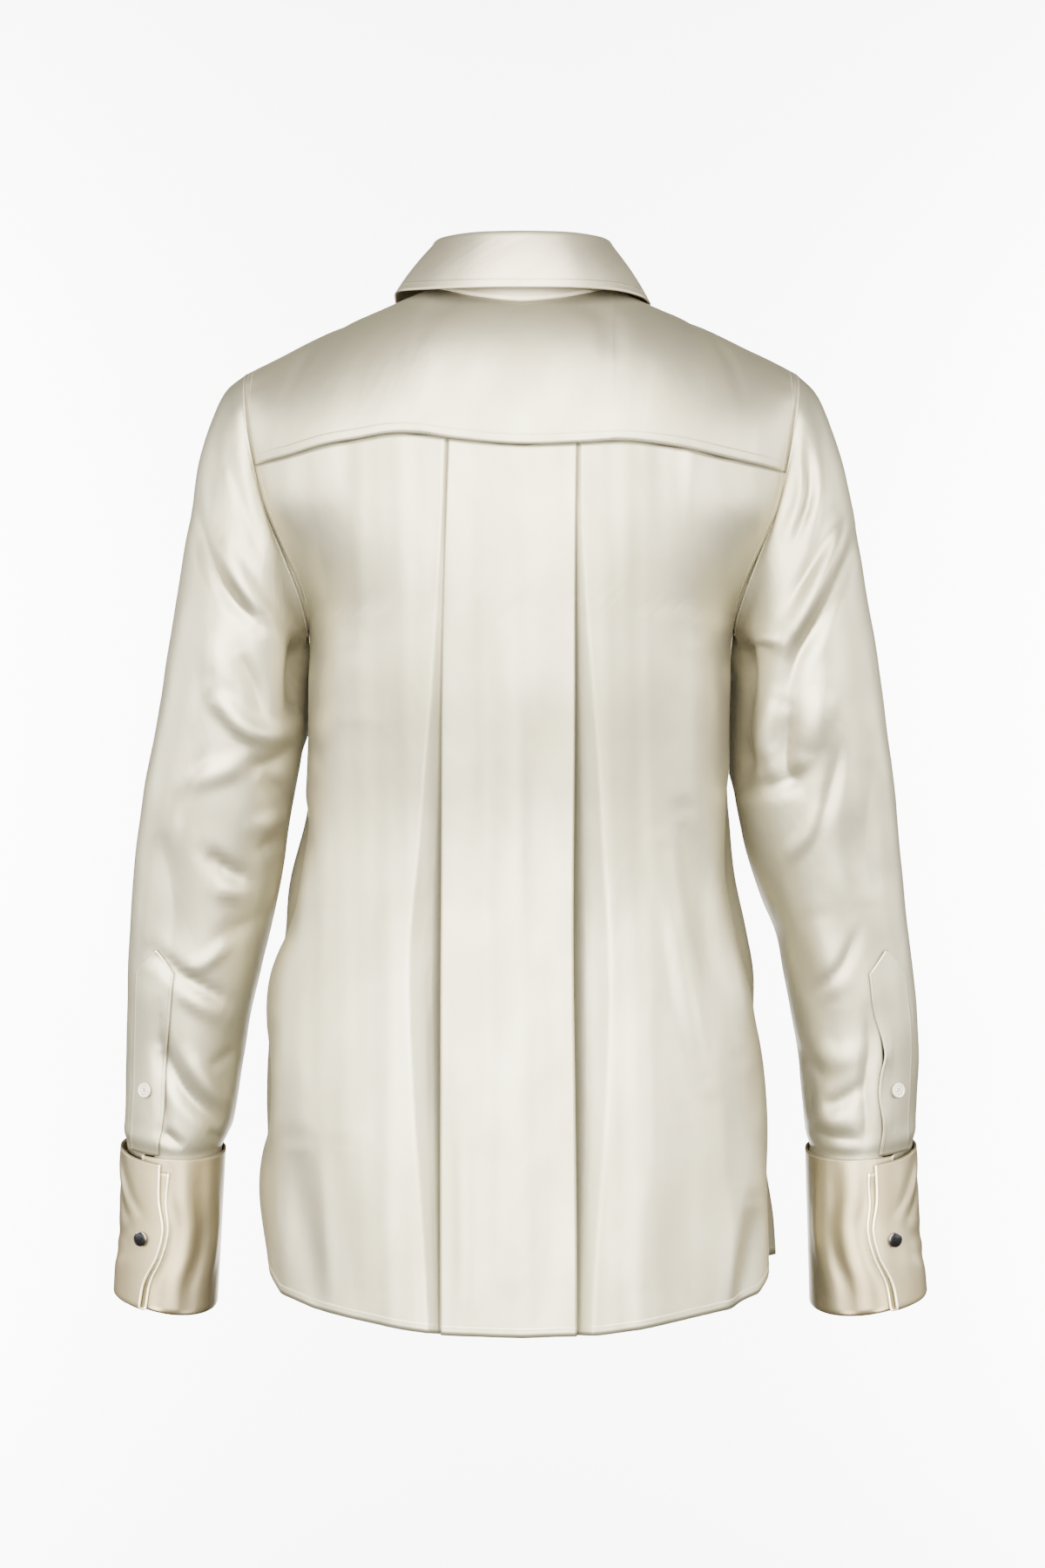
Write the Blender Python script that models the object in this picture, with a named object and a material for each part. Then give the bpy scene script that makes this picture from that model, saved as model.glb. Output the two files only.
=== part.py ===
"""Silk blouse, worn and filled out: every piece is a thin wall about its own cloth line.

Millimetres in the tables, metres in the scene. +Z up, the front faces -Y, +X is the
wearer's left. The origin is the centre of the neck at the level of the back neck seam.
"""

import math

import bmesh
import bpy
import numpy as np

MM = 0.001
CLOTH = 1.2
COLLAR_CLOTH = 1.5
CUFF_CLOTH = 1.4
SEAM = 0.35
LIFT = CLOTH + 0.35

# Torso rings: height, half widths to the wearer's left and right, depth behind and before.
BODY = [
    (-90, 190, 188, 101, 92),
    (-140, 176, 174, 109, 104),
    (-180, 158, 157, 110, 114),
    (-219, 144.5, 142.5, 108, 121),
    (-260, 144.5, 140, 104, 121),
    (-300, 145, 139.5, 98, 112),
    (-345, 148, 141, 92, 102),
    (-385, 156, 143, 90, 97),
    (-420, 161, 150, 91, 97),
    (-455, 169, 157, 95, 100),
    (-490, 173, 158.5, 100, 104),
    (-530, 174, 161, 105, 107),
    (-570, 174.5, 165.5, 109, 110),
    (-610, 175, 169.5, 112, 112),
    (-645, 174, 171, 114, 113),
    (-690, 173, 171, 116, 114),
]
RING_POWER = 2.3
UNDERARM_Z = -219.0
CHEST_Z = -140.0

# Armhole loop: height, distance out on each side, depth behind and before.
ARMHOLE = [
    (-43.5, 186, 184.5, 0, 0),
    (-48, 186.3, 184.6, 12, -14),
    (-58, 186.3, 184.4, 22, -27),
    (-75, 184.8, 182, 31, -38),
    (-108, 179, 176.5, 38, -48),
    (-140, 171, 169, 42, -51),
    (-165, 160.5, 158.5, 39, -47),
    (-190, 150.5, 149, 30, -36),
    (-208, 145.8, 143.8, 16, -19),
    (-219, 144.5, 142.5, 0, 0),
]

# Back yoke seam and shoulder ridge heights by distance across.
YOKE_SEAM = [
    (-176.5, -113),
    (-139, -107),
    (-103, -100),
    (-68, -96.5),
    (-35, -98),
    (0, -99),
    (46, -95),
    (71, -91.5),
    (90, -91.5),
    (106, -94),
    (132, -98),
    (156, -104),
    (179, -108),
]
YOKE_ENDS = (-176.5, 179.0)
SHOULDER_TIP = 186.0
RIDGE = [(0, 18), (30, 17), (50, 15), (62, 13), (85, 3.5), (186, -43.5), (190, -45.5)]

# Neck seam and the top edge of the stand, centre back round to centre front.
NECK = [
    # seam x, y, z, stand top x, y, z
    (0, 55, 0, 0, 51, 41),
    (16, 53, 1.2, 15.5, 49.5, 41),
    (31, 47.5, 3.6, 29.5, 45, 41),
    (46, 37.5, 7.5, 43, 35.5, 40.5),
    (57, 22, 11, 52.5, 21, 40),
    (61.5, 6, 12.8, 56, 6, 39),
    (62.5, -10, 11.5, 56.5, -9, 37),
    (60.5, -24, 8, 55, -22, 33),
    (56, -34, 1.5, 51, -32, 26),
    (47, -44, -12, 43, -41.5, 14),
    (34, -51.5, -28, 32, -49, -1),
    (18, -56.5, -42, 17, -54.5, -14),
    (0, -58, -47, 0, -56, -19),
]
# Outer edge of the fall in step with the rows of NECK; rises are by side.
FALL_EDGE = [
    # x, y, z, left rise, right rise
    (0, 66, 4.6, 0, 0),
    (22, 65, 4.8, 0, 0),
    (43, 60, 5.2, 0, 0),
    (64, 48, 5.6, 1, 0),
    (79, 27, 6, 3, -0.8),
    (85, 8, 6.2, 4.5, -1.6),
    (86.5, -12, 5, 4, -1.2),
    (84.5, -34, -3.5, 2, 0),
    (79, -54, -17, 0, 0),
    (71, -71, -33, 0, 0),
    (62, -83, -49, 0, 0),
    (54, -89.5, -62, 0, 0),
    (46, -94, -75, 0, 0),
]
# Roll of the fall over the stand: out and up from the stand's top edge.
ROLL = [(0, 1.0), (0.2, 2.4), (1.7, 4.0), (3.8, 3.4), (5.0, 1.2)]
FALL_STEPS = (0.18, 0.4, 0.62, 0.82, 1.0)
CENTRE_GAP = 2.5

# Hems by share of the half width: behind and before.
HEM = [
    (0.0, -682, -662),
    (0.3, -680.5, -661),
    (0.45, -677.5, -659),
    (0.6, -673, -655),
    (0.8, -667, -650),
    (0.92, -660, -647),
    (1.0, -641, -641),
]

# Box pleat: height, folded edges each side of the centre, depth of the step beside
# them, width of the trough outside, and how far the cloth is tucked under.
PLEAT = [
    (-92, 47.5, -35.5, 0, 9, 19),
    (-140, 49, -34.5, 1.5, 12, 19),
    (-200, 51, -34, 4, 17, 18),
    (-270, 52.5, -34, 7, 22, 17),
    (-340, 53, -33.5, 9.5, 27, 16),
    (-420, 53.5, -33, 11, 32, 15),
    (-500, 53.5, -34, 11, 34, 14),
    (-580, 53.5, -35, 8.5, 32, 13),
    (-690, 53, -35, 6, 28, 12),
]
PLEAT_TURN = 1.15
TURN_DEG = (55, 0, -55)

# Large soft folds of the torso: line from top to bottom, width, depth (in is plus).
BACK_FOLDS = [
    # x0, z0, x1, z1, width, depth
    (140, -100, 134, -235, 26, 4.5),
    (-122, -105, -128, -235, 34, 4.5),
    (6, -135, 5, -470, 44, 5.5),
    (-108, -350, -140, -540, 30, 6),
    (112, -300, 120, -560, 34, 5),
    (84, -420, 92, -650, 26, -3.5),
    (-76, -430, -84, -650, 28, -3.5),
    (-152, -600, -146, -665, 16, 4),
    (150, -560, 140, -665, 18, 4),
]
FRONT_FOLDS = [
    (128, -95, 122, -235, 30, 4),
    (-128, -95, -122, -235, 30, 4),
    (74, -240, 70, -600, 42, 6),
    (-80, -250, -72, -610, 42, 6),
    (118, -330, 124, -620, 32, 5),
    (-122, -340, -126, -600, 32, 5),
]

# Sleeves: outer and inner outline point of each ring, its centre in depth, its half
# depth, and how far it has left the armhole's own shape.
SLEEVE_LEFT = [
    # out x, out z, in x, in z, centre y, half depth, share
    (201, -56, 147.0, -223, -4.5, 50, 0.25),
    (211.5, -79, 147.6, -229, -4.5, 53, 0.5),
    (219, -104, 148, -237, -5, 55, 0.75),
    (223.5, -133, 148.2, -247, -5, 56, 1),
    (228.5, -160, 148.4, -258, -5.5, 56, 1),
    (233, -188, 148.6, -270, -6, 55.5, 1),
    (238.5, -222, 149, -285, -7, 54.5, 1),
    (244.5, -258, 151, -305, -9, 53, 1),
    (250.5, -290, 155, -327, -11, 51, 1),
    (257, -322, 159, -349, -13, 49, 1),
    (261.5, -354, 162.5, -372, -16, 47, 1),
    (265, -387, 167, -398, -19, 45, 1),
    (267.5, -420, 173, -424, -22, 43, 1),
    (269, -452, 179.5, -451, -24, 41.5, 1),
    (269.5, -480, 186, -479, -26, 40, 1),
    (270, -506, 191, -506, -28, 38.5, 1),
    (270.5, -532, 195, -533, -29, 37.5, 1),
    (271.3, -553, 198.5, -554, -30, 36.5, 1),
    (271.8, -564, 202.6, -565, -30, 35.3, 1),
    (270.2, -571.5, 206, -572.5, -30, 33.0, 1),
    (269.6, -578, 206.4, -579, -30, 32, 1),
]
SLEEVE_RIGHT = [
    (198.5, -57, 145.2, -223, -4.5, 50, 0.25),
    (208.5, -79, 145.6, -229, -4.5, 53, 0.5),
    (217, -106, 146, -237, -5, 55, 0.75),
    (222.5, -133, 146.2, -247, -5, 56, 1),
    (228, -162, 146.2, -258, -5.5, 56, 1),
    (232, -188, 145.8, -270, -6, 55.5, 1),
    (238.5, -222, 145, -285, -7, 54.5, 1),
    (243.5, -258, 144.6, -305, -9, 53, 1),
    (248, -290, 144.8, -327, -11, 51, 1),
    (252.5, -322, 148.5, -350, -13, 49, 1),
    (256, -354, 154, -372, -16, 47, 1),
    (259, -387, 163, -398, -19, 45, 1),
    (262.5, -420, 173.5, -424, -22, 43, 1),
    (266.5, -452, 179, -452, -24, 41.5, 1),
    (269.5, -480, 184, -480, -26, 40, 1),
    (270.5, -506, 188.5, -506, -28, 39.5, 1),
    (269.5, -532, 191, -533, -29, 39, 1),
    (268.5, -553, 193, -554, -30, 38.5, 1),
    (268.3, -564, 194.8, -565, -30, 37.2, 1),
    (266.6, -571.5, 197.2, -572.5, -30, 35.2, 1),
    (265.8, -578, 196.6, -579, -30, 34.4, 1),
]
SLEEVE_FOLDS_LEFT = [
    # x0, z0, x1, z1, width, depth
    (207, -92, 176, -170, 20, 6),
    (196, -86, 170, -150, 15, -4),
    (218, -140, 172, -212, 24, 6),
    (211, -200, 194, -272, 22, 5),
    (196, -284, 158, -268, 22, -5),
    (226, -318, 152, -296, 22, -5),
    (222, -368, 186, -388, 26, 5.5),
    (248, -432, 202, -470, 24, 4.5),
    (240, -508, 200, -554, 26, 5),
]
SLEEVE_FOLDS_RIGHT = [
    (183, -92, 176, -170, 16, -4),
    (198, -90, 184, -160, 18, 5),
    (224, -150, 170, -268, 26, 7),
    (204, -150, 190, -190, 18, -5),
    (170, -222, 148, -214, 20, -4),
    (202, -250, 174, -312, 26, -6),
    (212, -300, 172, -306, 22, 5),
    (244, -398, 212, -430, 24, 4.5),
    (186, -508, 232, -516, 22, 5),
    (192, -548, 224, -560, 20, 4),
]
SLEEVE_COLUMNS = 26
SLIT_COLUMN = 4
SLIT_ROW = 14

# Sleeve placket strip: shares of the way round from the outside, and heights.
PLACKET_ROUND = (0.105, 0.212)
PLACKET_TOP = -449.0
PLACKET_PEAK = 17.0
PLACKET_FOOT = -573.4
SLEEVE_BUTTON_Z = -528.0

# Cuffs: centre at the top and bottom, half width and half depth of the mid line.
CUFF_TOP_Z = -574.6
CUFF_FOLD_Z = -679.0
CUFF_INNER_TOP_Z = -580.0
CUFFS = {
    # side: top centre x, bottom centre x, top half, bottom half, seam centre x, seam half
    "left": (238.2, 242.4, 34.7, 33.2, 238, 31.8),
    "right": (231.0, 235.4, 36.9, 38.4, 231.2, 34.8),
}
CUFF_Y = -30.0
CUFF_PLY_GAP = 3.2
CUFF_LAP_RISE = 5.4
CUFF_LAP_MM = 15.0
CUFF_END_SHARE = 0.225
# Lower the cuff, further round the lapped end: share down, shift round in mm.
CUFF_END = [(0.0, 0.0), (0.25, 0.5), (0.45, 3.4), (0.62, 0.5), (0.82, -7.0), (1.0, -9.5)]
CUFF_COLUMNS = 26
CUFF_LAP_RUN = 42.0
CUFF_FOLD_RISE = (1.6, 0.3)
# The forearm hangs forward, so the rims rise towards the front and outside: top, foot.
CUFF_LEAN = (7.0, 9.5)
CUFF_SIDE_RISE = (2.0, 5.5)
# Share of that rise the sleeve takes over its last rings, by height.
FOREARM_LEAN = [(-573.0, 1.0), (-564.0, 0.9), (-553.0, 0.7), (-532.0, 0.35), (-506.0, 0.0)]
# The lapped end's top corner sinks, and its inner ply reaches further round: share down, mm.
CUFF_DROOP = 4.0
CUFF_DROOP_RUN = 30.0
CUFF_PLY_STEP = [(0.0, 6.0), (0.3, 3.6), (0.6, 2.8), (1.0, 3.0)]
CUFF_ROWS_Z = (-592.0, -622.0, -654.0, CUFF_FOLD_Z + CUFF_FOLD_RISE[0])
STUD_DROP = 55.0
STUD_BACK = 12.0
STUD_DIAMETER = 10.0
STUD_HEIGHT = 3.4

BUTTON_DIAMETER = 10.4
BUTTON_HEIGHT = 2.2
BUTTON_CLEAR = 0.32
STAND_BUTTON_CLEAR = 0.75
SLEEVE_BUTTON_CLEAR = 0.55
STUD_CLEAR = 0.4
FRONT_BUTTON_Z = (-92.0, -178.0, -264.0, -350.0, -436.0, -522.0)
BAND_HALF = 13.0


def smooth(table, column, at):
    """The table's column at a height or distance, with a smooth curve between rows."""
    rows = sorted((row[0], row[column]) for row in table)
    xs = np.array([row[0] for row in rows], float)
    ys = np.array([row[1] for row in rows], float)
    slope = np.gradient(ys, xs)
    at = float(np.clip(at, xs[0], xs[-1]))
    k = int(np.clip(np.searchsorted(xs, at) - 1, 0, len(xs) - 2))
    span = xs[k + 1] - xs[k]
    s = (at - xs[k]) / span
    return float(
        ys[k] * (1 + 2 * s) * (1 - s) ** 2
        + slope[k] * span * s * (1 - s) ** 2
        + ys[k + 1] * s * s * (3 - 2 * s)
        + slope[k + 1] * span * s * s * (s - 1)
    )


def straight(table, column, at):
    """The table's column with straight lines between rows."""
    rows = sorted((row[0], row[column]) for row in table)
    return float(np.interp(at, [row[0] for row in rows], [row[1] for row in rows]))


def hump(x):
    """One at the middle of a fold, nothing at its edges."""
    return 0.5 + 0.5 * math.cos(math.pi * min(1.0, abs(x)))


def ring(z_edge, side, back):
    """Half width, edge depth and edge angle of the torso ring that meets the seam here."""
    depth = smooth(BODY, 3 if back else 4, z_edge)
    if z_edge <= UNDERARM_Z:
        return smooth(BODY, 1 if side > 0 else 2, z_edge), math.pi / 2
    out = straight(ARMHOLE, 1 if side > 0 else 2, z_edge)
    deep = abs(straight(ARMHOLE, 3 if back else 4, z_edge))
    angle = math.acos((deep / depth) ** (RING_POWER / 2))
    return out / math.sin(angle) ** (2 / RING_POWER), angle


def ring_depth(x, width, z, back):
    """Distance of the torso ring from the side-to-side plane."""
    share = min(1.0, abs(x) / width)
    depth = smooth(BODY, 3 if back else 4, z)
    return depth * (1 - share**RING_POWER) ** (1 / RING_POWER)


def fold_depth(folds, x, z):
    """How far the torso's large folds push the cloth in at this point."""
    total = 0.0
    for x0, z0, x1, z1, width, depth in folds:
        down = (z0 - z) / (z0 - z1)
        if 0 < down < 1:
            middle = x0 + (x1 - x0) * down
            total += depth * hump((x - middle) / width) * math.sin(math.pi * down) ** 0.7
    return total


def thick_wall(name, points, quads, thickness, finish):
    """A closed wall of cloth about a sheet of points, faces out."""
    pts = np.array(points, float)
    faces = np.array(quads, int)
    diagonal_a = pts[faces[:, 2]] - pts[faces[:, 0]]
    diagonal_b = pts[faces[:, 3]] - pts[faces[:, 1]]
    face_normal = np.cross(diagonal_a, diagonal_b)
    normal = np.zeros_like(pts)
    for corner in range(4):
        np.add.at(normal, faces[:, corner], face_normal)
    length = np.linalg.norm(normal, axis=1, keepdims=True)
    normal = normal / np.maximum(length, 1e-9)
    outer = pts + normal * thickness / 2
    inner = pts - normal * thickness / 2
    edges = {}
    for quad in quads:
        for a, b in zip(quad, quad[1:] + quad[:1]):
            edges[(a, b)] = True
    mesh = bmesh.new()
    outs = [mesh.verts.new(p * MM) for p in outer]
    ins = [mesh.verts.new(p * MM) for p in inner]
    for quad in quads:
        mesh.faces.new([outs[i] for i in quad])
        mesh.faces.new([ins[i] for i in reversed(quad)])
    for a, b in edges:
        if (b, a) not in edges:
            mesh.faces.new([outs[b], outs[a], ins[a], ins[b]])
    loose = [v for v in mesh.verts if not v.link_faces]
    bmesh.ops.delete(mesh, geom=loose, context="VERTS")
    return finish_object(name, mesh, finish)


def finish_object(name, mesh, finish):
    """Puts the mesh in the scene as one named object with its own material."""
    colour, roughness, metallic = finish
    data = bpy.data.meshes.new(name)
    mesh.to_mesh(data)
    mesh.free()
    obj = bpy.data.objects.new(name, data)
    bpy.context.scene.collection.objects.link(obj)
    material = bpy.data.materials.new(name)
    material.use_nodes = True
    shader = material.node_tree.nodes["Principled BSDF"]
    shader.inputs["Base Color"].default_value = (*colour, 1.0)
    shader.inputs["Roughness"].default_value = roughness
    shader.inputs["Metallic"].default_value = metallic
    data.materials.append(material)
    for polygon in data.polygons:
        polygon.use_smooth = True
    return obj


def grid_quads(rows, columns, closed=False, flip=False, skip=()):
    """Quads of a grid of points stored row after row; skip lists cells left open."""
    quads = []
    for r in range(rows - 1):
        for c in range(columns if closed else columns - 1):
            if (r, c) in skip:
                continue
            d = (c + 1) % columns
            quad = [r * columns + c, (r + 1) * columns + c, (r + 1) * columns + d, r * columns + d]
            quads.append(quad[::-1] if flip else quad)
    return quads


IVORY = ((0.83, 0.80, 0.72), 0.32, 0.0)
CUFF_IVORY = ((0.76, 0.70, 0.58), 0.32, 0.0)
PEARL = ((0.86, 0.84, 0.78), 0.25, 0.0)
STUD_BLACK = ((0.01, 0.01, 0.012), 0.15, 0.6)


# ---- Back: shirt tail panel with a box pleat, under the yoke -----------------------

BACK_EDGE_Z = (
    -108, -128, -150, -174, -196, -210, -219, -242, -274, -310,
    -350, -390, -430, -470, -510, -550, -588, -620, -641,
)
SIDE_SHARES = (1.0, 0.91, 0.79, 0.67, 0.55, 0.43, 0.32, 0.22, 0.13, 0.06)
CENTRE_SHARES = (0.2, 0.4, 0.6, 0.8)
SIDE_FADE = 0.1
BEND_POWER = 1.5
SEAM_BEND = 6


def back_height(z_edge, x, width):
    """Height of a back row at x: the row bends from the yoke seam's line to the hem's."""
    first, last = BACK_EDGE_Z[0], BACK_EDGE_Z[-1]
    q = (z_edge - first) / (last - first)
    seam = smooth(YOKE_SEAM, 1, max(YOKE_ENDS[0], min(YOKE_ENDS[1], x))) - SEAM
    seam_end = smooth(YOKE_SEAM, 1, YOKE_ENDS[1] if x > 0 else YOKE_ENDS[0]) - SEAM
    hem = straight(HEM, 1, abs(x) / width)
    rise = (seam - seam_end) * max(0.0, 1 - q) ** BEND_POWER
    rise += (seam_end - first) * max(0, 1 - SEAM_BEND * q)
    return z_edge + rise + (hem - last) * q**BEND_POWER


def on_back(x, z, width, push):
    """Point of the back cloth line at x, pushed in from the torso ring."""
    y = ring_depth(x, width, z, True)
    y_next = ring_depth(x + 1.0, width, z, True)
    n = np.array([y - y_next, 1.0])
    n /= np.linalg.norm(n)
    return (x - n[0] * push, y - n[1] * push, z)


def side_positions(z_edge, side, start):
    """Distances across at equal shares of the arc from the pleat to the seam."""
    width, edge_angle = ring(z_edge, side, True)
    depth = smooth(BODY, 3, z_edge)
    begin = math.asin(min(1.0, (start / width) ** (RING_POWER / 2)))
    angles = np.linspace(begin, edge_angle, 80)
    xs = width * np.sin(angles) ** (2 / RING_POWER)
    ys = depth * np.maximum(np.cos(angles), 0) ** (2 / RING_POWER)
    arc = np.concatenate([[0], np.cumsum(np.hypot(np.diff(xs), np.diff(ys)))])
    return [
        (float(np.interp(s * arc[-1], arc, xs)), float(np.interp(s * arc[-1], arc, ys)))
        for s in SIDE_SHARES
    ]


def back_row(z_edge):
    """One row of the back from the right seam to the left seam, pleats folded in."""
    halves = {}
    for side, column in ((1, 1), (-1, 2)):
        width, _ = ring(z_edge, side, True)
        fold_x = abs(smooth(PLEAT, column, z_edge))
        depth = smooth(PLEAT, 3, z_edge)
        reach = smooth(PLEAT, 4, z_edge)
        tuck = smooth(PLEAT, 5, z_edge)
        low = 4 * PLEAT_TURN + depth
        row = []
        for share, (x, y) in zip(SIDE_SHARES, side_positions(z_edge, side, fold_x)):
            z = back_height(z_edge, side * x, width)
            push = low * hump((x - fold_x) / reach) if x - fold_x < reach else 0.0
            push += fold_depth(BACK_FOLDS, side * x, z) * min(1.0, (1 - share) / SIDE_FADE)
            y += ring_depth(x, width, z, True) - ring_depth(x, width, z_edge, True)
            y += SEAM / 2 if share == 1 else 0.0
            y_next = ring_depth(min(x + 0.5, width), width, z, True)
            y_here = ring_depth(x, width, z, True)
            n = np.array([(y_here - y_next) / 0.5, 1.0])
            n /= np.linalg.norm(n)
            row.append((side * (x - n[0] * push), y - n[1] * push, z))
        path = [(0.0, -low), (-tuck, -low)]
        for angle in TURN_DEG[::-1]:
            a = math.radians(angle)
            path.append(
                (
                    -tuck - PLEAT_TURN * math.cos(a),
                    -(low - PLEAT_TURN) + PLEAT_TURN * math.sin(a),
                )
            )
        path += [(-tuck, -(low - 2 * PLEAT_TURN)), (-PLEAT_TURN, -2 * PLEAT_TURN)]
        for angle in TURN_DEG[::-1]:
            a = math.radians(angle)
            path.append(
                (
                    -PLEAT_TURN + PLEAT_TURN * math.cos(a),
                    -PLEAT_TURN + PLEAT_TURN * math.sin(a),
                )
            )
        path.append((-PLEAT_TURN, 0.0))
        for along, rise in path:
            x = fold_x + along
            z = back_height(z_edge, side * x, width)
            middle = fold_depth(BACK_FOLDS, side * x, z)
            point = on_back(x, z, width, middle - rise)
            row.append((side * point[0], point[1], point[2]))
        halves[side] = (row, fold_x - PLEAT_TURN, width)
    left_row, left_x, width_left = halves[1]
    right_row, right_x, width_right = halves[-1]
    centre = []
    for share in CENTRE_SHARES:
        x = -right_x + (left_x + right_x) * share
        width = width_left if x > 0 else width_right
        z = back_height(z_edge, x, width)
        point = on_back(abs(x), z, width, fold_depth(BACK_FOLDS, x, z))
        centre.append((math.copysign(point[0], x), point[1], point[2]))
    return right_row + centre + left_row[::-1]


def build_back():
    rows = [back_row(z) for z in BACK_EDGE_Z]
    columns = len(rows[0])
    points = [p for row in rows for p in row]
    quads = grid_quads(len(rows), columns, flip=True)
    return thick_wall("back", points, quads, CLOTH, IVORY)


# ---- Yoke: one piece over both shoulders, from the back seam to the front seams -----

YOKE_COLUMNS = (0, 13, 26, 38, 48, 56, 60.8, 62.3, 73, 88, 106, 126, 146, 167, SHOULDER_TIP)
YOKE_BACK_STEPS = (0, 0.15, 0.31, 0.47, 0.63, 0.77, 0.9, 1.0)
YOKE_FRONT_DEPTH = 30.0
YOKE_FRONT_GAP = 0.7
YOKE_FRONT_STEPS = (0.45, 1.0)
NECK_COLUMN = 7
NECK_STEPS = 6
RIDGE_DROP = 0.6
NECK_SIDE_ROW = 5
TIP_DEPTH_BACK = 38.0
TIP_DEPTH_FRONT = 51.0
CREST_LEAN = 0.94


def ridge_height(x, side):
    """Height of the shoulder's crest, a little lower to the wearer's right."""
    drop = RIDGE_DROP if side < 0 else 0.0
    return smooth(RIDGE, 1, x) - drop * min(1.0, x / RIDGE[3][0])


def neck_back(x):
    """Depth and height of the back neck seam at this distance from the centre."""
    rows = refine(NECK, NECK_STEPS)[: NECK_STEPS * NECK_SIDE_ROW + 1]
    xs = [row[0] for row in rows]
    return float(np.interp(x, xs, [row[1] for row in rows])), float(
        np.interp(x, xs, [row[2] for row in rows])
    )


def neck_side(y):
    """Distance out and height of the neck seam this far in front of the ridge."""
    rows = refine(NECK, NECK_STEPS)[NECK_STEPS * NECK_SIDE_ROW :]
    ys = [-row[1] for row in rows]
    return float(np.interp(y, ys, [row[0] for row in rows])), float(
        np.interp(y, ys, [row[2] for row in rows])
    )


def armhole_edge(side, back, z):
    """Point of the armhole loop at this height."""
    x = side * straight(ARMHOLE, 1 if side > 0 else 2, z)
    return (x, straight(ARMHOLE, 3 if back else 4, z), z)


def shoulder_column(side, x_ridge):
    """Where one column of the yoke starts, crosses the ridge and ends in front."""
    last = x_ridge >= SHOULDER_TIP
    edge = YOKE_ENDS[1] if side > 0 else -YOKE_ENDS[0]
    x_seam = edge if last else x_ridge * edge / SHOULDER_TIP
    z_seam = smooth(YOKE_SEAM, 1, side * x_seam)
    width, _ = ring(BACK_EDGE_Z[0], side, True)
    y_seam = TIP_DEPTH_BACK if last else ring_depth(x_seam, width, z_seam, True)
    x_top = ARMHOLE[0][1 if side > 0 else 2] if last else x_ridge
    return x_seam, y_seam, z_seam, x_top, ridge_height(x_top, side)


def front_arc(x, side, last):
    """Depth of the chest below this part of the ridge, and the ridge's height."""
    width, _ = ring(CHEST_Z, side, False)
    deep = TIP_DEPTH_FRONT if last else ring_depth(x * CREST_LEAN, width, CHEST_Z, False)
    return deep, ridge_height(x, side)


def yoke_column(side, x_ridge):
    """One column of the yoke from its back seam over the crest to its front edge."""
    x_seam, y_seam, z_seam, x_top, z_top = shoulder_column(side, x_ridge)
    last = x_ridge >= SHOULDER_TIP
    on_neck = x_ridge < YOKE_COLUMNS[NECK_COLUMN]
    y_end, z_end = neck_back(x_ridge) if on_neck else (0.0, z_top)
    end = math.acos(min(1.0, y_end / y_seam))
    z_top = z_seam + (z_end - z_seam) / math.sin(end)
    x_top = x_seam + (x_ridge - x_seam) / math.sin(end) if on_neck else x_top
    column = []
    for step in YOKE_BACK_STEPS:
        angle = end * step
        share = math.sin(angle)
        x = x_seam + (x_top - x_seam) * share
        y = y_seam * math.cos(angle)
        z = z_seam + (z_top - z_seam) * share
        if last and step < 1:
            x, y, _ = armhole_edge(side, True, z)
            x = abs(x)
        column.append((side * x, y, z))
    if on_neck:
        return column
    deep, z_top = front_arc(x_top, side, last)
    for step in YOKE_FRONT_STEPS:
        y = YOKE_FRONT_DEPTH * step
        z = CHEST_Z + (z_top - CHEST_Z) * math.sqrt(1 - (y / deep) ** 2)
        x = x_top
        if last:
            x = abs(armhole_edge(side, False, z)[0])
        if x_ridge == YOKE_COLUMNS[NECK_COLUMN]:
            x, z = neck_side(y)
        column.append((side * x, -y, z))
    return column


def build_yoke():
    columns = [yoke_column(-1, x) for x in YOKE_COLUMNS[::-1]]
    columns += [yoke_column(1, x) for x in YOKE_COLUMNS[1:]]
    rows = len(YOKE_BACK_STEPS) + len(YOKE_FRONT_STEPS)
    count = len(columns)
    points = []
    skip = set()
    for r in range(rows):
        for c, column in enumerate(columns):
            if r < len(column):
                points.append(column[r])
            else:
                points.append((0.0, 0.0, 0.0))
                skip.add((r - 1, c))
                skip.add((r - 1, c - 1))
    quads = grid_quads(rows, count, skip=skip)
    return thick_wall("yoke", points, quads, CLOTH, IVORY)


# ---- Fronts: left under right, from the yoke and neck to the shirt tail -------------

FRONT_TOP_X = (185.0, 167, 146, 126, 106, 88, 73, 61.5, 55, 45, 33)
FRONT_SHARES = (1.0, 0.91, 0.82, 0.73, 0.64, 0.56, 0.48, 0.405, 0.335, 0.27, 0.205)
FRONT_TOP_STEPS = (0, 0.25, 0.5, 0.75)
FRONT_EDGE_Z = (
    -140, -165, -190, -208, -219, -246, -284, -328, -374, -420, -466,
    -512, -558, -602, -641,
)
NECK_CORNER = 57.5
LAP_COLUMNS = (BAND_HALF + 5, BAND_HALF + 1.3, 0.0, -BAND_HALF)
STEEP_TOP_Z = -60.0
STEEP_RUN = 80.0


def neck_front(x):
    """Front neck seam at this distance from the centre: depth and height."""
    rows = refine(NECK, NECK_STEPS)[NECK_STEPS * (NECK_SIDE_ROW + 1) :]
    xs = [row[0] for row in rows][::-1]
    y = float(np.interp(abs(x), xs, [row[1] for row in rows][::-1]))
    z = float(np.interp(abs(x), xs, [row[2] for row in rows][::-1]))
    return y, z


def settle(x, y, z, lift):
    """Point of the lap at x moved out across the cloth, which leans back near the neck."""
    steep = min(1.0, max(0.0, (STEEP_TOP_Z - z) / STEEP_RUN))
    return (x, y - lift * (0.75 + 0.25 * steep), z + lift * 0.6 * (1 - steep))


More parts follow.
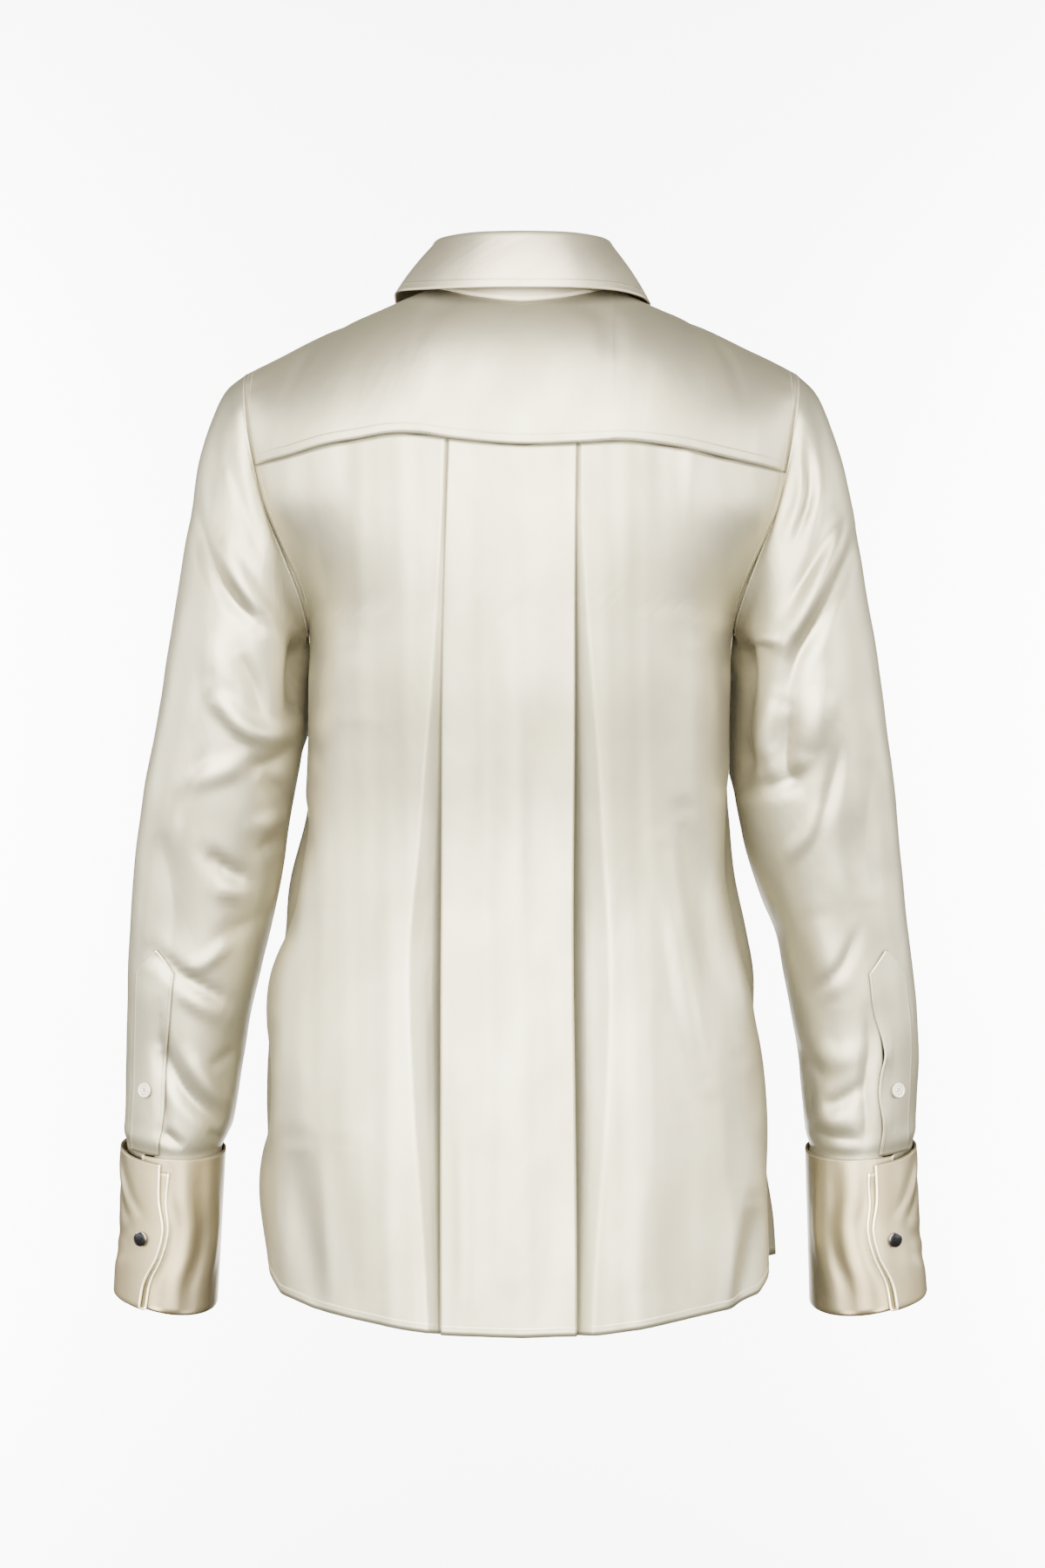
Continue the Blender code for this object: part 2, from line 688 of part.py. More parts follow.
def front_top(side, x, first):
    """Top point of a front column, on the yoke seam or on the neck seam."""
    if x > NECK_CORNER:
        deep, z_ridge = front_arc(x, side, first)
        y = YOKE_FRONT_DEPTH + YOKE_FRONT_GAP
        z = CHEST_Z + (z_ridge - CHEST_Z) * math.sqrt(1 - (y / deep) ** 2)
        if first:
            x = abs(armhole_edge(side, False, z)[0])
        return x, -y, z
    y, z = neck_front(x)
    return x, y, z


def front_column(side, x_top, share, x_fixed=None):
    """One column of a front from the top seam down to the hem."""
    first = share == 1.0
    x0, y0, z0 = front_top(side, x_top if x_fixed is None else abs(x_fixed), first)
    width, edge_angle = ring(CHEST_Z, side, False)
    x_chest = width * math.sin(edge_angle * share) ** (2 / RING_POWER)
    if x_fixed is not None:
        x_chest = abs(x_fixed)
    deep = ring_depth(x_chest, width, CHEST_Z, False)
    z_crest = CHEST_Z + (z0 - CHEST_Z) / math.sqrt(1 - (y0 / deep) ** 2)
    column = []
    for step in FRONT_TOP_STEPS:
        z = z0 + (CHEST_Z - z0) * step
        x = x0 + (x_chest - x0) * step
        y = -deep * math.sqrt(1 - ((z - CHEST_Z) / (z_crest - CHEST_Z)) ** 2)
        if first:
            x, y, z = armhole_edge(side, False, z)
            x = abs(x)
        column.append((x, y, z))
    for z_edge in FRONT_EDGE_Z:
        width, edge_angle = ring(z_edge, side, False)
        x = width * math.sin(edge_angle * share) ** (2 / RING_POWER)
        if x_fixed is not None:
            x = abs(x_fixed)
        q = (CHEST_Z - z_edge) / (CHEST_Z - FRONT_EDGE_Z[-1])
        z = z_edge + (straight(HEM, 2, x / width) - FRONT_EDGE_Z[-1]) * q**1.5
        if first:
            x, y, z = armhole_edge(side, False, z_edge) if z_edge > UNDERARM_Z else (x, 0, z_edge)
            column.append((abs(x), y - SEAM / 2, z))
            continue
        push = fold_depth(FRONT_FOLDS, side * x, z) * min(1.0, (1 - share) / SIDE_FADE)
        y = ring_depth(x, width, z, False)
        slope = (y - ring_depth(min(x + 0.5, width), width, z, False)) / 0.5
        length = math.hypot(slope, 1.0)
        column.append((x - push * slope / length, -(y - push / length), z))
    return column


def front_columns(side):
    """All columns of a front, seam first, ending past the centre line."""
    columns = [
        [(side * x, y, z) for x, y, z in front_column(side, x_top, share)]
        for x_top, share in zip(FRONT_TOP_X, FRONT_SHARES)
    ]
    for x_fixed in LAP_COLUMNS:
        lift = -LIFT if side > 0 and x_fixed < LAP_COLUMNS[0] else 0.0
        column = front_column(side, 0, 0.1, x_fixed)
        columns.append([settle(side * x_fixed, y, z, lift) for _, y, z in column])
    return columns


def build_front(name, side):
    columns = front_columns(side)
    rows = len(columns[0])
    if side > 0:
        columns = columns[::-1]
    points = [column[r] for r in range(rows) for column in columns]
    quads = grid_quads(rows, len(columns), flip=False)
    return thick_wall(name, points, quads, CLOTH, IVORY)


def band_points():
    """Cloth line of the button band, on the right front's edge moved out."""
    columns = []
    for x in (BAND_HALF, 0.0, -BAND_HALF):
        column = front_column(-1, 0, 0.1, x)
        start = np.array(column[0]) * 0.9 + np.array(column[1]) * 0.1
        column[0] = tuple(start)
        columns.append([settle(x, y, z, LIFT) for _, y, z in column])
    return columns


def build_band():
    columns = band_points()
    rows = len(columns[0])
    points = [column[r] for r in range(rows) for column in columns]
    quads = grid_quads(rows, len(columns), flip=True)
    return thick_wall("front_band", points, quads, CLOTH, IVORY)


# ---- Collar: stand around the neck and the fall turned over it ----------------------


def refine(rows, steps):
    """The rows with smooth ones added between them."""
    data = np.array(rows, float)
    out = []
    for k in range(len(data) - 1):
        p0 = data[max(0, k - 1)]
        p1 = data[k]
        p2 = data[k + 1]
        p3 = data[min(len(data) - 1, k + 2)]
        for j in range(steps):
            t = j / steps
            out.append(
                0.5
                * (
                    2 * p1
                    + (p2 - p0) * t
                    + (2 * p0 - 5 * p1 + 4 * p2 - p3) * t * t
                    + (3 * p1 - p0 - 3 * p2 + p3) * t**3
                )
            )
    out.append(data[-1])
    return out


def evenly(rows, count):
    """The rows' smooth curve cut at equal steps along its first three columns."""
    dense = np.array(refine(rows, 12))
    step = np.linalg.norm(np.diff(dense[:, :3], axis=0), axis=1)
    arc = np.concatenate([[0], np.cumsum(step)])
    at = np.linspace(0, arc[-1], count)
    return np.stack([np.interp(at, arc, dense[:, k]) for k in range(dense.shape[1])], axis=1)


STAND_COLUMNS = 35
FALL_COLUMNS = 37


def stand_columns():
    """Bottom and top of the stand; the right end laps over the left at the front."""
    rows = [(-r[0], *r[1:3], -r[3], *r[4:]) for r in NECK[:0:-1]] + NECK
    return [(row[:3], row[3:]) for row in evenly(rows, STAND_COLUMNS)]


STAND_CLEAR = 1.4
STAND_LAP = (8.0, 14.0)
STAND_STEPS = (0.0, 0.33, 0.67, 1.0)


def stand_points():
    """Points of the stand's cloth line, with both front ends carried on to the lap."""
    rows = stand_columns()
    under = np.array([0, COLLAR_CLOTH + 0.4, 0])
    body = []
    last = len(rows) - 1
    for k, (b, t) in enumerate(rows):
        near = max(0.0, 1 - (last - k) / 1.5)
        body.append((b + under * near, t + under * near))
    left_end = []
    right_end = []
    for x in STAND_LAP:
        shift = np.array([x, x * 0.05, x * 0.23])
        right_end.append((rows[0][0] + shift, rows[0][1] + shift))
        shift = np.array([-x, x * 0.05, x * 0.23]) + under
        left_end.append((rows[-1][0] + shift, rows[-1][1] + shift))
    columns = right_end[::-1] + body + left_end
    grid = []
    for step in STAND_STEPS:
        for b, t in columns:
            rise = (t - b) / np.linalg.norm(t - b)
            grid.append(b + rise * STAND_CLEAR + (t - b) * step)
    return grid, len(columns)


def build_stand():
    points, columns = stand_points()
    quads = grid_quads(len(STAND_STEPS), columns, flip=True)
    return thick_wall("collar_stand", points, quads, COLLAR_CLOTH, IVORY)


FALL_BOW = 1.6


def fall_columns():
    """Stand top edge and fall edge, right front end round the back to the left end."""
    joined = [(*neck[3:], *edge) for neck, edge in zip(NECK, FALL_EDGE)]
    right = [(-r[0], r[1], r[2], -r[3], r[4], r[5] + r[7]) for r in joined[:0:-1]]
    left = [(r[0], r[1], r[2], r[3], r[4], r[5] + r[6]) for r in joined]
    return evenly(right + left, FALL_COLUMNS)


def build_fall():
    columns = fall_columns()
    tops, edges = columns[:, :3], columns[:, 3:]
    tops[0, 0] = -CENTRE_GAP
    tops[-1, 0] = CENTRE_GAP
    along = np.gradient(tops[:, :2], axis=0)
    out = np.stack([along[:, 1], -along[:, 0], np.zeros(len(along))], axis=1)
    out /= np.linalg.norm(out, axis=1, keepdims=True)
    out *= np.sign((out * tops).sum(axis=1, keepdims=True))
    grid = [tops + out * away + (0, 0, STAND_CLEAR + up) for away, up in ROLL]
    start = grid[-1]
    for step in FALL_STEPS:
        bow = FALL_BOW * math.sin(math.pi * step)
        grid.append(start + (edges - start) * step + out * bow)
    quads = grid_quads(len(grid), len(columns), flip=True)
    return thick_wall("collar_fall", np.concatenate(grid), quads, COLLAR_CLOTH, IVORY)


# ---- Sleeves: a tube each, set in the armhole and slit above the cuff ---------------

ARM_CENTRE_Y = -4.5
ARM_HALF_DEPTH = 46.5
ARMHOLE_GAP = (0.95, 1.1)
CREASE_REACH = 0.62
INNER_CREASE = 0.45


def armhole_shape(side):
    """The loop from the shoulder tip down the back and up the front, by arc length."""
    column = 1 if side > 0 else 2
    back = [(row[column], row[3], row[0]) for row in ARMHOLE]
    front = [(row[column], row[4], row[0]) for row in ARMHOLE]
    halves = []
    for half in (back, front):
        dense = np.array(refine(half, 8))
        arc = np.concatenate([[0], np.cumsum(np.linalg.norm(np.diff(dense, axis=0), axis=1))])
        shares = np.linspace(0, 1, SLEEVE_COLUMNS // 2 + 1)
        halves.append(
            np.stack([np.interp(shares * arc[-1], arc, dense[:, i]) for i in range(3)], axis=1)
        )
    return np.concatenate([halves[0], halves[1][-2:0:-1]])


def sleeve_rings(side):
    """Rings of the sleeve's cloth line, armhole first, points from outside round the back."""
    table = SLEEVE_LEFT if side > 0 else SLEEVE_RIGHT
    folds = SLEEVE_FOLDS_LEFT if side > 0 else SLEEVE_FOLDS_RIGHT
    loop = armhole_shape(side)
    tip = loop[0]
    under = loop[SLEEVE_COLUMNS // 2]
    axis = (tip - under) / np.linalg.norm(tip - under)
    outward = np.array([axis[2], 0, -axis[0]])
    middle = (tip + under) / 2
    half = np.linalg.norm(tip - under) / 2
    shape = np.stack(
        [(loop - middle) @ axis / half, (loop[:, 1] - ARM_CENTRE_Y) / ARM_HALF_DEPTH], axis=1
    )
    rings = []
    turn = np.arange(SLEEVE_COLUMNS) / SLEEVE_COLUMNS
    gaps = ARMHOLE_GAP[0] + ARMHOLE_GAP[1] * np.sin(np.pi * turn) ** 0.6
    rings.append(loop + outward * gaps[:, None])
    for out_x, out_z, in_x, in_z, y, deep, share in table:
        o = np.array([out_x, 0, out_z], float)
        i = np.array([in_x, 0, in_z], float)
        centre = (o + i) / 2
        centre[1] = y
        across = (o - i) / 2
        round_shape = np.stack([np.cos(2 * np.pi * turn), np.sin(2 * np.pi * turn)], axis=1)
        s = shape * (1 - share) + round_shape * share
        one = centre + s[:, :1] * across + s[:, 1:] * np.array([0, deep, 0])
        taken = straight(FOREARM_LEAN, 1, centre[2])
        one[:, 2] += taken * (CUFF_LEAN[0] * (1 - s[:, 1]) + CUFF_SIDE_RISE[0] * s[:, 0])
        rings.append(one)
    for k in range(2, len(rings) - 3):
        for c in range(SLEEVE_COLUMNS):
            p = rings[k][c]
            facing = math.sin(2 * math.pi * turn[c])
            push = 0.0
            for x0, z0, x1, z1, width, depth in folds:
                line = np.array([x1 - x0, z1 - z0])
                size = np.linalg.norm(line)
                line = line / size
                offset = np.array([p[0] - x0, p[2] - z0])
                down = float(offset @ line) / size
                away = float(offset[0] * line[1] - offset[1] * line[0])
                if -0.1 < down < 1.1:
                    push += depth * hump(away / width) * hump((down - 0.5) / CREASE_REACH)
            if facing > 0:
                push *= facing**0.6
            else:
                push *= INNER_CREASE * abs(facing) ** 0.6
            fade = min(1.0, (k - 1) / 2.0)
            centre = rings[k].mean(axis=0)
            inward = centre - p
            inward /= np.linalg.norm(inward)
            rings[k][c] = p + inward * push * fade
    return rings


def mirror(points, side):
    return [(side * p[0], p[1], p[2]) for p in points]


def build_sleeve(name, side):
    rings = sleeve_rings(side)
    points = [p for one in rings for p in mirror(one, side)]
    skip = {(r, SLIT_COLUMN) for r in range(SLIT_ROW, len(rings) - 1)}
    quads = grid_quads(len(rings), SLEEVE_COLUMNS, closed=True, flip=side < 0, skip=skip)
    return thick_wall(name, points, quads, CLOTH, IVORY)


def sleeve_point(rings, share, z, lift):
    """Point on the sleeve at this share of the way round and height, moved out."""
    column = share * SLEEVE_COLUMNS
    c = int(column)
    f = column - c
    line = np.array(
        [ring_k[c] * (1 - f) + ring_k[(c + 1) % SLEEVE_COLUMNS] * f for ring_k in rings]
    )
    heights = line[:, 2]
    order = np.argsort(heights)
    p = np.array([np.interp(z, heights[order], line[order, i]) for i in range(3)])
    centres = np.array([ring_k.mean(axis=0) for ring_k in rings])
    co = np.argsort(centres[:, 2])
    centre = np.array([np.interp(z, centres[co, 2], centres[co, i]) for i in range(3)])
    away = p - centre
    away[2] = 0
    away /= np.linalg.norm(away)
    return p + away * lift, away


PLACKET_COLUMNS = 7
PLACKET_ROWS = 9
PLACKET_LIFT = LIFT + 0.9


def cuff_rise(a, down):
    """How much higher a cuff ring lies at this angle than at its back."""
    lean = CUFF_LEAN[0] + (CUFF_LEAN[1] - CUFF_LEAN[0]) * down
    side_rise = CUFF_SIDE_RISE[0] + (CUFF_SIDE_RISE[1] - CUFF_SIDE_RISE[0]) * down
    return lean * (1 - math.sin(a)) + side_rise * math.cos(a)


def cuff_droop(from_end, down):
    """How far the lapped end's top corner sinks, this far back from the end."""
    near = max(0.0, 1 - max(0.0, from_end) / CUFF_DROOP_RUN)
    return CUFF_DROOP * (1 - down) * near


def build_sleeve_placket(name, side):
    rings = sleeve_rings(side)
    start, stop = PLACKET_ROUND
    points = []
    for r in range(PLACKET_ROWS):
        for c in range(PLACKET_COLUMNS):
            across = c / (PLACKET_COLUMNS - 1)
            top = PLACKET_TOP + PLACKET_PEAK * (1 - abs(2 * across - 1))
            z = top + (PLACKET_FOOT - top) * r / (PLACKET_ROWS - 1)
            round_share = start + (stop - start) * across
            z += straight(FOREARM_LEAN, 1, z) * cuff_rise(2 * math.pi * round_share, 0.0)
            point, _ = sleeve_point(rings, round_share, z, PLACKET_LIFT)
            points.append(point)
    quads = grid_quads(PLACKET_ROWS, PLACKET_COLUMNS, flip=side < 0)
    return thick_wall(name, mirror(points, side), quads, CLOTH, IVORY)


def build_cuff(name, side):
    """Double cuff: inner ply down, turned back up at the fold, ends lapped."""
    top_x, low_x, top_half, low_half, seam_x, seam_half = CUFFS["left" if side > 0 else "right"]
    gap = CUFF_PLY_GAP
    profile = [(CUFF_INNER_TOP_Z, "seam")]
    profile += [(z, -gap) for z in CUFF_ROWS_Z]
    profile += [(CUFF_FOLD_Z + CUFF_FOLD_RISE[1], -gap * share) for share in (0.7, 0.3)]
    profile += [(z, 0.0) for z in CUFF_ROWS_Z[::-1]]
    profile.append((CUFF_TOP_Z, 0.0))
    points = []
    for z, offset in profile:
        down = (CUFF_TOP_Z - z) / (CUFF_TOP_Z - CUFF_FOLD_Z)
        centre = top_x + (low_x - top_x) * down
        half = top_half + (low_half - top_half) * down
        if offset == "seam":
            centre = seam_x
            offset = seam_half - half
        shift = smooth(CUFF_END, 1, down)
        around = 2 * math.pi * half
        end = CUFF_END_SHARE + shift / around
        start = end - 1 - CUFF_LAP_MM / around
        last = end + smooth(CUFF_PLY_STEP, 1, down) * min(1.0, -offset / gap) / around
        for c in range(CUFF_COLUMNS):
            s = start + (last - start) * c / (CUFF_COLUMNS - 1)
            from_end = (end - s) * around
            lap = hump(max(0.0, from_end - CUFF_LAP_MM) / CUFF_LAP_RUN)
            r = half + offset + CUFF_LAP_RISE * lap
            a = 2 * math.pi * s
            height = z + cuff_rise(a, down) - cuff_droop(from_end, down)
            points.append((side * (centre + r * math.cos(a)), CUFF_Y + r * math.sin(a), height))
    quads = grid_quads(len(profile), CUFF_COLUMNS, flip=side > 0)
    return thick_wall(name, points, quads, CUFF_CLOTH, CUFF_IVORY)


# ---- Buttons and studs ---------------------------------------------------------------


def turned(name, centre, outward, profile, finish, segments=10):
    """A body of revolution about the outward line: profile of radius and height."""
    n = np.array(outward, float)
    n /= np.linalg.norm(n)
    u = np.cross([0, 0, 1.0], n)
    u /= np.linalg.norm(u)
    v = np.cross(n, u)
    mesh = bmesh.new()
    loops = []
    for radius, height in profile:
        loop = []
        for k in range(segments):
            a = 2 * math.pi * k / segments
            p = np.array(centre) + n * height + (u * math.cos(a) + v * math.sin(a)) * radius
            loop.append(mesh.verts.new(p * MM))
        loops.append(loop)
    for low, high in zip(loops, loops[1:]):
        for k in range(segments):
            j = (k + 1) % segments
            mesh.faces.new([low[k], low[j], high[j], high[k]])
    mesh.faces.new(loops[0][::-1])
    mesh.faces.new(loops[-1])
    return finish_object(name, mesh, finish)


BUTTON_PROFILE = (
    (BUTTON_DIAMETER / 2 - 1.0, 0.0),
    (BUTTON_DIAMETER / 2, 0.8),
    (BUTTON_DIAMETER / 2, BUTTON_HEIGHT - 0.6),
    (BUTTON_DIAMETER / 2 - 0.9, BUTTON_HEIGHT),
    (BUTTON_DIAMETER / 2 - 1.8, BUTTON_HEIGHT - 0.6),
)
STUD_PROFILE = (
    (STUD_DIAMETER / 2 - 1.6, 0.0),
    (STUD_DIAMETER / 2, 1.0),
    (STUD_DIAMETER / 2, STUD_HEIGHT - 0.9),
    (STUD_DIAMETER / 2 - 0.7, STUD_HEIGHT),
)


def build_buttons():
    centre_line = band_points()[1]
    line = np.array(centre_line)
    order = np.argsort(line[:, 2])
    for k, z in enumerate(FRONT_BUTTON_Z):
        y = float(np.interp(z, line[order, 2], line[order, 1]))
        y_up = float(np.interp(z + 5, line[order, 2], line[order, 1]))
        y_low = float(np.interp(z - 5, line[order, 2], line[order, 1]))
        n = np.array([0.0, -10.0, y_up - y_low])
        n /= np.linalg.norm(n)
        centre = np.array([0, y, z]) + n * (CLOTH / 2 + BUTTON_CLEAR)
        turned(f"front_button_{k + 1}", centre, n, BUTTON_PROFILE, PEARL)
    lap = (NECK[-1][1] + NECK[-1][4]) / 2 - COLLAR_CLOTH / 2 - STAND_BUTTON_CLEAR
    neck_z = (NECK[-1][2] + NECK[-1][5]) / 2
    turned("stand_button", (0, lap, neck_z), (0, -28, 2), BUTTON_PROFILE, PEARL)
    for side, name in ((1, "left"), (-1, "right")):
        rings = sleeve_rings(side)
        share = sum(PLACKET_ROUND) / 2
        lift = PLACKET_LIFT + CLOTH / 2 + SLEEVE_BUTTON_CLEAR
        point, away = sleeve_point(rings, share, SLEEVE_BUTTON_Z, lift)
        point = (side * point[0], point[1], point[2])
        away = (side * away[0], away[1], 0)
        turned(f"sleeve_button_{name}", point, away, BUTTON_PROFILE, PEARL)


def build_studs():
    for side, name in ((1, "left"), (-1, "right")):
        top_x, low_x, top_half, low_half, _, _ = CUFFS[name]
        z = CUFF_TOP_Z - STUD_DROP
        down = STUD_DROP / (CUFF_TOP_Z - CUFF_FOLD_Z)
        centre = top_x + (low_x - top_x) * down
        half = top_half + (low_half - top_half) * down
        around = 2 * math.pi * half
        s = CUFF_END_SHARE + (smooth(CUFF_END, 1, down) - STUD_BACK) / around
        a = 2 * math.pi * s
        r = half + CUFF_LAP_RISE + CUFF_CLOTH / 2 + STUD_CLEAR
        z += cuff_rise(a, down) - cuff_droop(STUD_BACK, down)
        point = (side * (centre + r * math.cos(a)), CUFF_Y + r * math.sin(a), z)
        turned(
            f"cuff_stud_{name}", point, (side * math.cos(a), math.sin(a), 0), STUD_PROFILE, STUD_BLACK
        )


for old in list(bpy.data.objects):
    bpy.data.objects.remove(old, do_unlink=True)

build_back()
build_yoke()
build_front("front_left", 1)
build_front("front_right", -1)
build_band()
build_stand()
build_fall()
for which, sign in (("left", 1), ("right", -1)):
    build_sleeve(f"sleeve_{which}", sign)
    build_sleeve_placket(f"sleeve_placket_{which}", sign)
    build_cuff(f"cuff_{which}", sign)
build_buttons()
build_studs()
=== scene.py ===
import math

import bmesh
import bpy
import mathutils
import numpy as np
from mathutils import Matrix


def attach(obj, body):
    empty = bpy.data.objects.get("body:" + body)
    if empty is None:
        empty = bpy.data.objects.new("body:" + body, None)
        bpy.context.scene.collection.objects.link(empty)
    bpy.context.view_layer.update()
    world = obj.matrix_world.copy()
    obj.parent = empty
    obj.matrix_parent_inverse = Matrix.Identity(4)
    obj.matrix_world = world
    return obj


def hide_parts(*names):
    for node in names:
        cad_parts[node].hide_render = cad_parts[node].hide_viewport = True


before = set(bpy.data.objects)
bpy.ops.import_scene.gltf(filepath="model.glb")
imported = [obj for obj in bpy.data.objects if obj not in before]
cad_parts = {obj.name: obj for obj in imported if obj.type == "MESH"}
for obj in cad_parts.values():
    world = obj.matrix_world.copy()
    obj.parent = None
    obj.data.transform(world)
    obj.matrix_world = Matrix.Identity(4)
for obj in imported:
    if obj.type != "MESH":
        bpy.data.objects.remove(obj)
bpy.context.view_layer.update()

# ---- Back panel ----------------------------------------------------------------------
# One length of ivory silk satin on the straight grain, sewn to the yoke along its top.
# A pressed box pleat folds in at the centre, and the shirt-tail hem is turned and stitched.
# Sizes are in millimetres; CLOTH is the wall that carries the form, SILK the cloth itself.

MM = 0.001
CLOTH = 1.2
SILK = 0.5
SEAM = 0.35
LIFT = CLOTH + SEAM

BODY = [
    # height, half widths to the wearer's left and right, depth behind and before
    (-90, 190, 188, 101, 92),
    (-140, 176, 174, 109, 104),
    (-180, 158, 157, 110, 114),
    (-219, 144.5, 142.5, 108, 121),
    (-260, 144.5, 140, 104, 121),
    (-300, 145, 139.5, 98, 112),
    (-345, 148, 141, 92, 102),
    (-385, 156, 143, 90, 97),
    (-420, 161, 150, 91, 97),
    (-455, 169, 157, 95, 100),
    (-490, 173, 158.5, 100, 104),
    (-530, 174, 161, 105, 107),
    (-570, 174.5, 165.5, 109, 110),
    (-610, 175, 169.5, 112, 112),
    (-645, 174, 171, 114, 113),
    (-690, 173, 171, 116, 114),
]
RING_POWER = 2.3
UNDERARM_Z = -219.0
CHEST_Z = -140.0
ARMHOLE = [
    # height, distance out to the left and right, depth behind and before
    (-43.5, 186, 184.5, 0, 0),
    (-48, 186.3, 184.6, 12, -14),
    (-58, 186.3, 184.4, 22, -27),
    (-75, 184.8, 182, 31, -38),
    (-108, 179, 176.5, 38, -48),
    (-140, 171, 169, 42, -51),
    (-165, 160.5, 158.5, 39, -47),
    (-190, 150.5, 149, 30, -36),
    (-208, 145.8, 143.8, 16, -19),
    (-219, 144.5, 142.5, 0, 0),
]
YOKE_SEAM = [
    # distance across, height
    (-176.5, -113),
    (-139, -107),
    (-103, -100),
    (-68, -96.5),
    (-35, -98),
    (0, -99),
    (46, -95),
    (71, -91.5),
    (90, -91.5),
    (106, -94),
    (132, -98),
    (156, -104),
    (179, -108),
]
YOKE_ENDS = (-176.5, 179.0)
HEM = [
    # share of the half width, height behind and before
    (0.0, -682, -662),
    (0.3, -680.5, -661),
    (0.45, -677.5, -659),
    (0.6, -673, -655),
    (0.8, -667, -650),
    (0.92, -660, -647),
    (1.0, -641, -641),
]
BACK_TOP_Z = -108.0
HEM_SIDE_Z = -641.0
PLEAT = [
    # height, fold to the left and right, tuck under
    (-92, 47.5, -35.5, 19),
    (-140, 49, -34.5, 19),
    (-200, 51, -34, 18),
    (-270, 52.5, -34, 17),
    (-340, 53, -33.5, 16),
    (-420, 53.5, -33, 15),
    (-500, 53.5, -34, 14),
    (-580, 53.5, -35, 13),
    (-690, 53, -35, 12),
]
PLEAT_REACH = [
    # height, width of the trough beside the left fold and beside the right fold
    (-92, 3.5, 3.5),
    (-166, 4, 5),
    (-210, 5.5, 8),
    (-268, 8, 13),
    (-300, 11, 16),
    (-356, 16, 20),
    (-423, 22, 25),
    (-500, 19, 22),
    (-600, 11, 13),
    (-690, 7, 8),
]
PLEAT_SLOPE = 0.7
PLEAT_ROLL = [(-92, 0.7), (-200, 0.8), (-320, 1.1), (-450, 1.5), (-690, 1.3)]
BACK_CREASES = [
    # half width, depth in, then points of the crease across and up
    (24, 3.4, (141, -100), (139, -150), (134, -235)),
    (16, 2.5, (118, -100), (122, -160), (116, -230)),
    (32, 3.6, (-126, -105), (-128, -165), (-124, -235)),
    (30, 2.2, (8, -112), (20, -250), (32, -400)),
    (28, 2.2, (6, -112), (-10, -250), (-22, -400)),
    (20, -1.8, (6, -190), (5, -420), (8, -640)),
    (15, 3, (-106, -340), (-116, -385), (-124, -430), (-144, -500)),
    (14, -2.4, (-92, -360), (-104, -430), (-122, -520)),
    (40, 3, (108, -270), (112, -400), (120, -560)),
    (30, 1.5, (88, -130), (96, -260), (100, -400)),
    (28, -1.8, (84, -420), (88, -540), (92, -660)),
    (28, -1.8, (-76, -430), (-80, -540), (-84, -660)),
    (13, 4, (-155, -600), (-151, -632), (-146, -672)),
    (10, -2, (-140, -590), (-138, -630), (-134, -676)),
    (18, 4, (150, -560), (146, -610), (138, -672)),
    (9, -1.4, (39, -540), (38, -610), (38.5, -676)),
    (14, 1.0, (24, -500), (24, -600), (25, -680)),
    (16, 0.9, (-14, -520), (-16, -610), (-18, -680)),
    (14, 1.4, (-104, -540), (-106, -610), (-106, -676)),
    (14, 1.4, (118, -560), (117, -620), (116, -676)),
]
SIDE_WAVE = {
    # height, how far the side seam draws in, how far the front then stands out beyond it
    1: [
        (-330, 0, 0), (-350, 5, 4), (-375, 8, 7), (-402, 8, 7), (-420, 4, 4), (-434, 0, 0),
        (-485, 0, 0), (-505, 4, 3), (-535, 6, 4), (-556, 3, 2), (-566, 0, 0), (-620, 0, 0),
        (-641, 5, 4),
    ],
    -1: [
        (-310, 0, 0), (-345, 5, 4), (-375, 8, 7), (-410, 9, 8), (-448, 8, 7), (-476, 3, 2),
        (-490, 0, 0), (-565, 0, 0), (-585, 4, 3), (-612, 8, 7), (-641, 9, 8),
    ],
}


def loft(lines, knots, at):
    """Smooth curve through lines or numbers that are set at the knots."""
    lines = np.asarray(lines, float)
    knots = np.asarray(knots, float)
    at = np.asarray(at, float)
    slope = np.gradient(lines, knots, axis=0)
    k = np.clip(np.searchsorted(knots, at) - 1, 0, len(knots) - 2)
    extra = at.shape + (1,) * (lines.ndim - 1)
    span = (knots[k + 1] - knots[k]).reshape(extra)
    s = (at - knots[k]).reshape(extra) / span
    rise = lines[k] * (1 + 2 * s) * (1 - s) ** 2 + lines[k + 1] * s * s * (3 - 2 * s)
    return rise + slope[k] * span * s * (1 - s) ** 2 + slope[k + 1] * span * s * s * (s - 1)


def curve(table, column, at):
    """The table's column at a height or distance, smooth between its rows."""
    rows = np.array(sorted(table), float)
    return loft(rows[:, column], rows[:, 0], np.clip(at, rows[0, 0], rows[-1, 0]))


def straight(table, column, at):
    """The table's column with straight lines between its rows."""
    rows = np.array(sorted(table), float)
    return np.interp(at, rows[:, 0], rows[:, column])


def hump(x):
    """One at the middle of a fold, nothing at its edges."""
    return 0.5 + 0.5 * np.cos(np.pi * np.minimum(1.0, np.abs(x)))


def running(steps):
    """The running total of the steps, from zero."""
    return np.concatenate([[0], np.cumsum(steps)])


def run_along(path):
    """Distance along a path at each of its points."""
    return running(np.linalg.norm(np.diff(path, axis=0), axis=1))


def unit(vectors):
    """The vectors at length one."""
    return vectors / np.linalg.norm(vectors, axis=-1, keepdims=True)


def refine(rows, steps):
    """The rows with smooth ones added between them."""
    knots = np.arange(len(rows))
    return loft(np.array(rows, float), knots, np.linspace(0, knots[-1], steps * knots[-1] + 1))


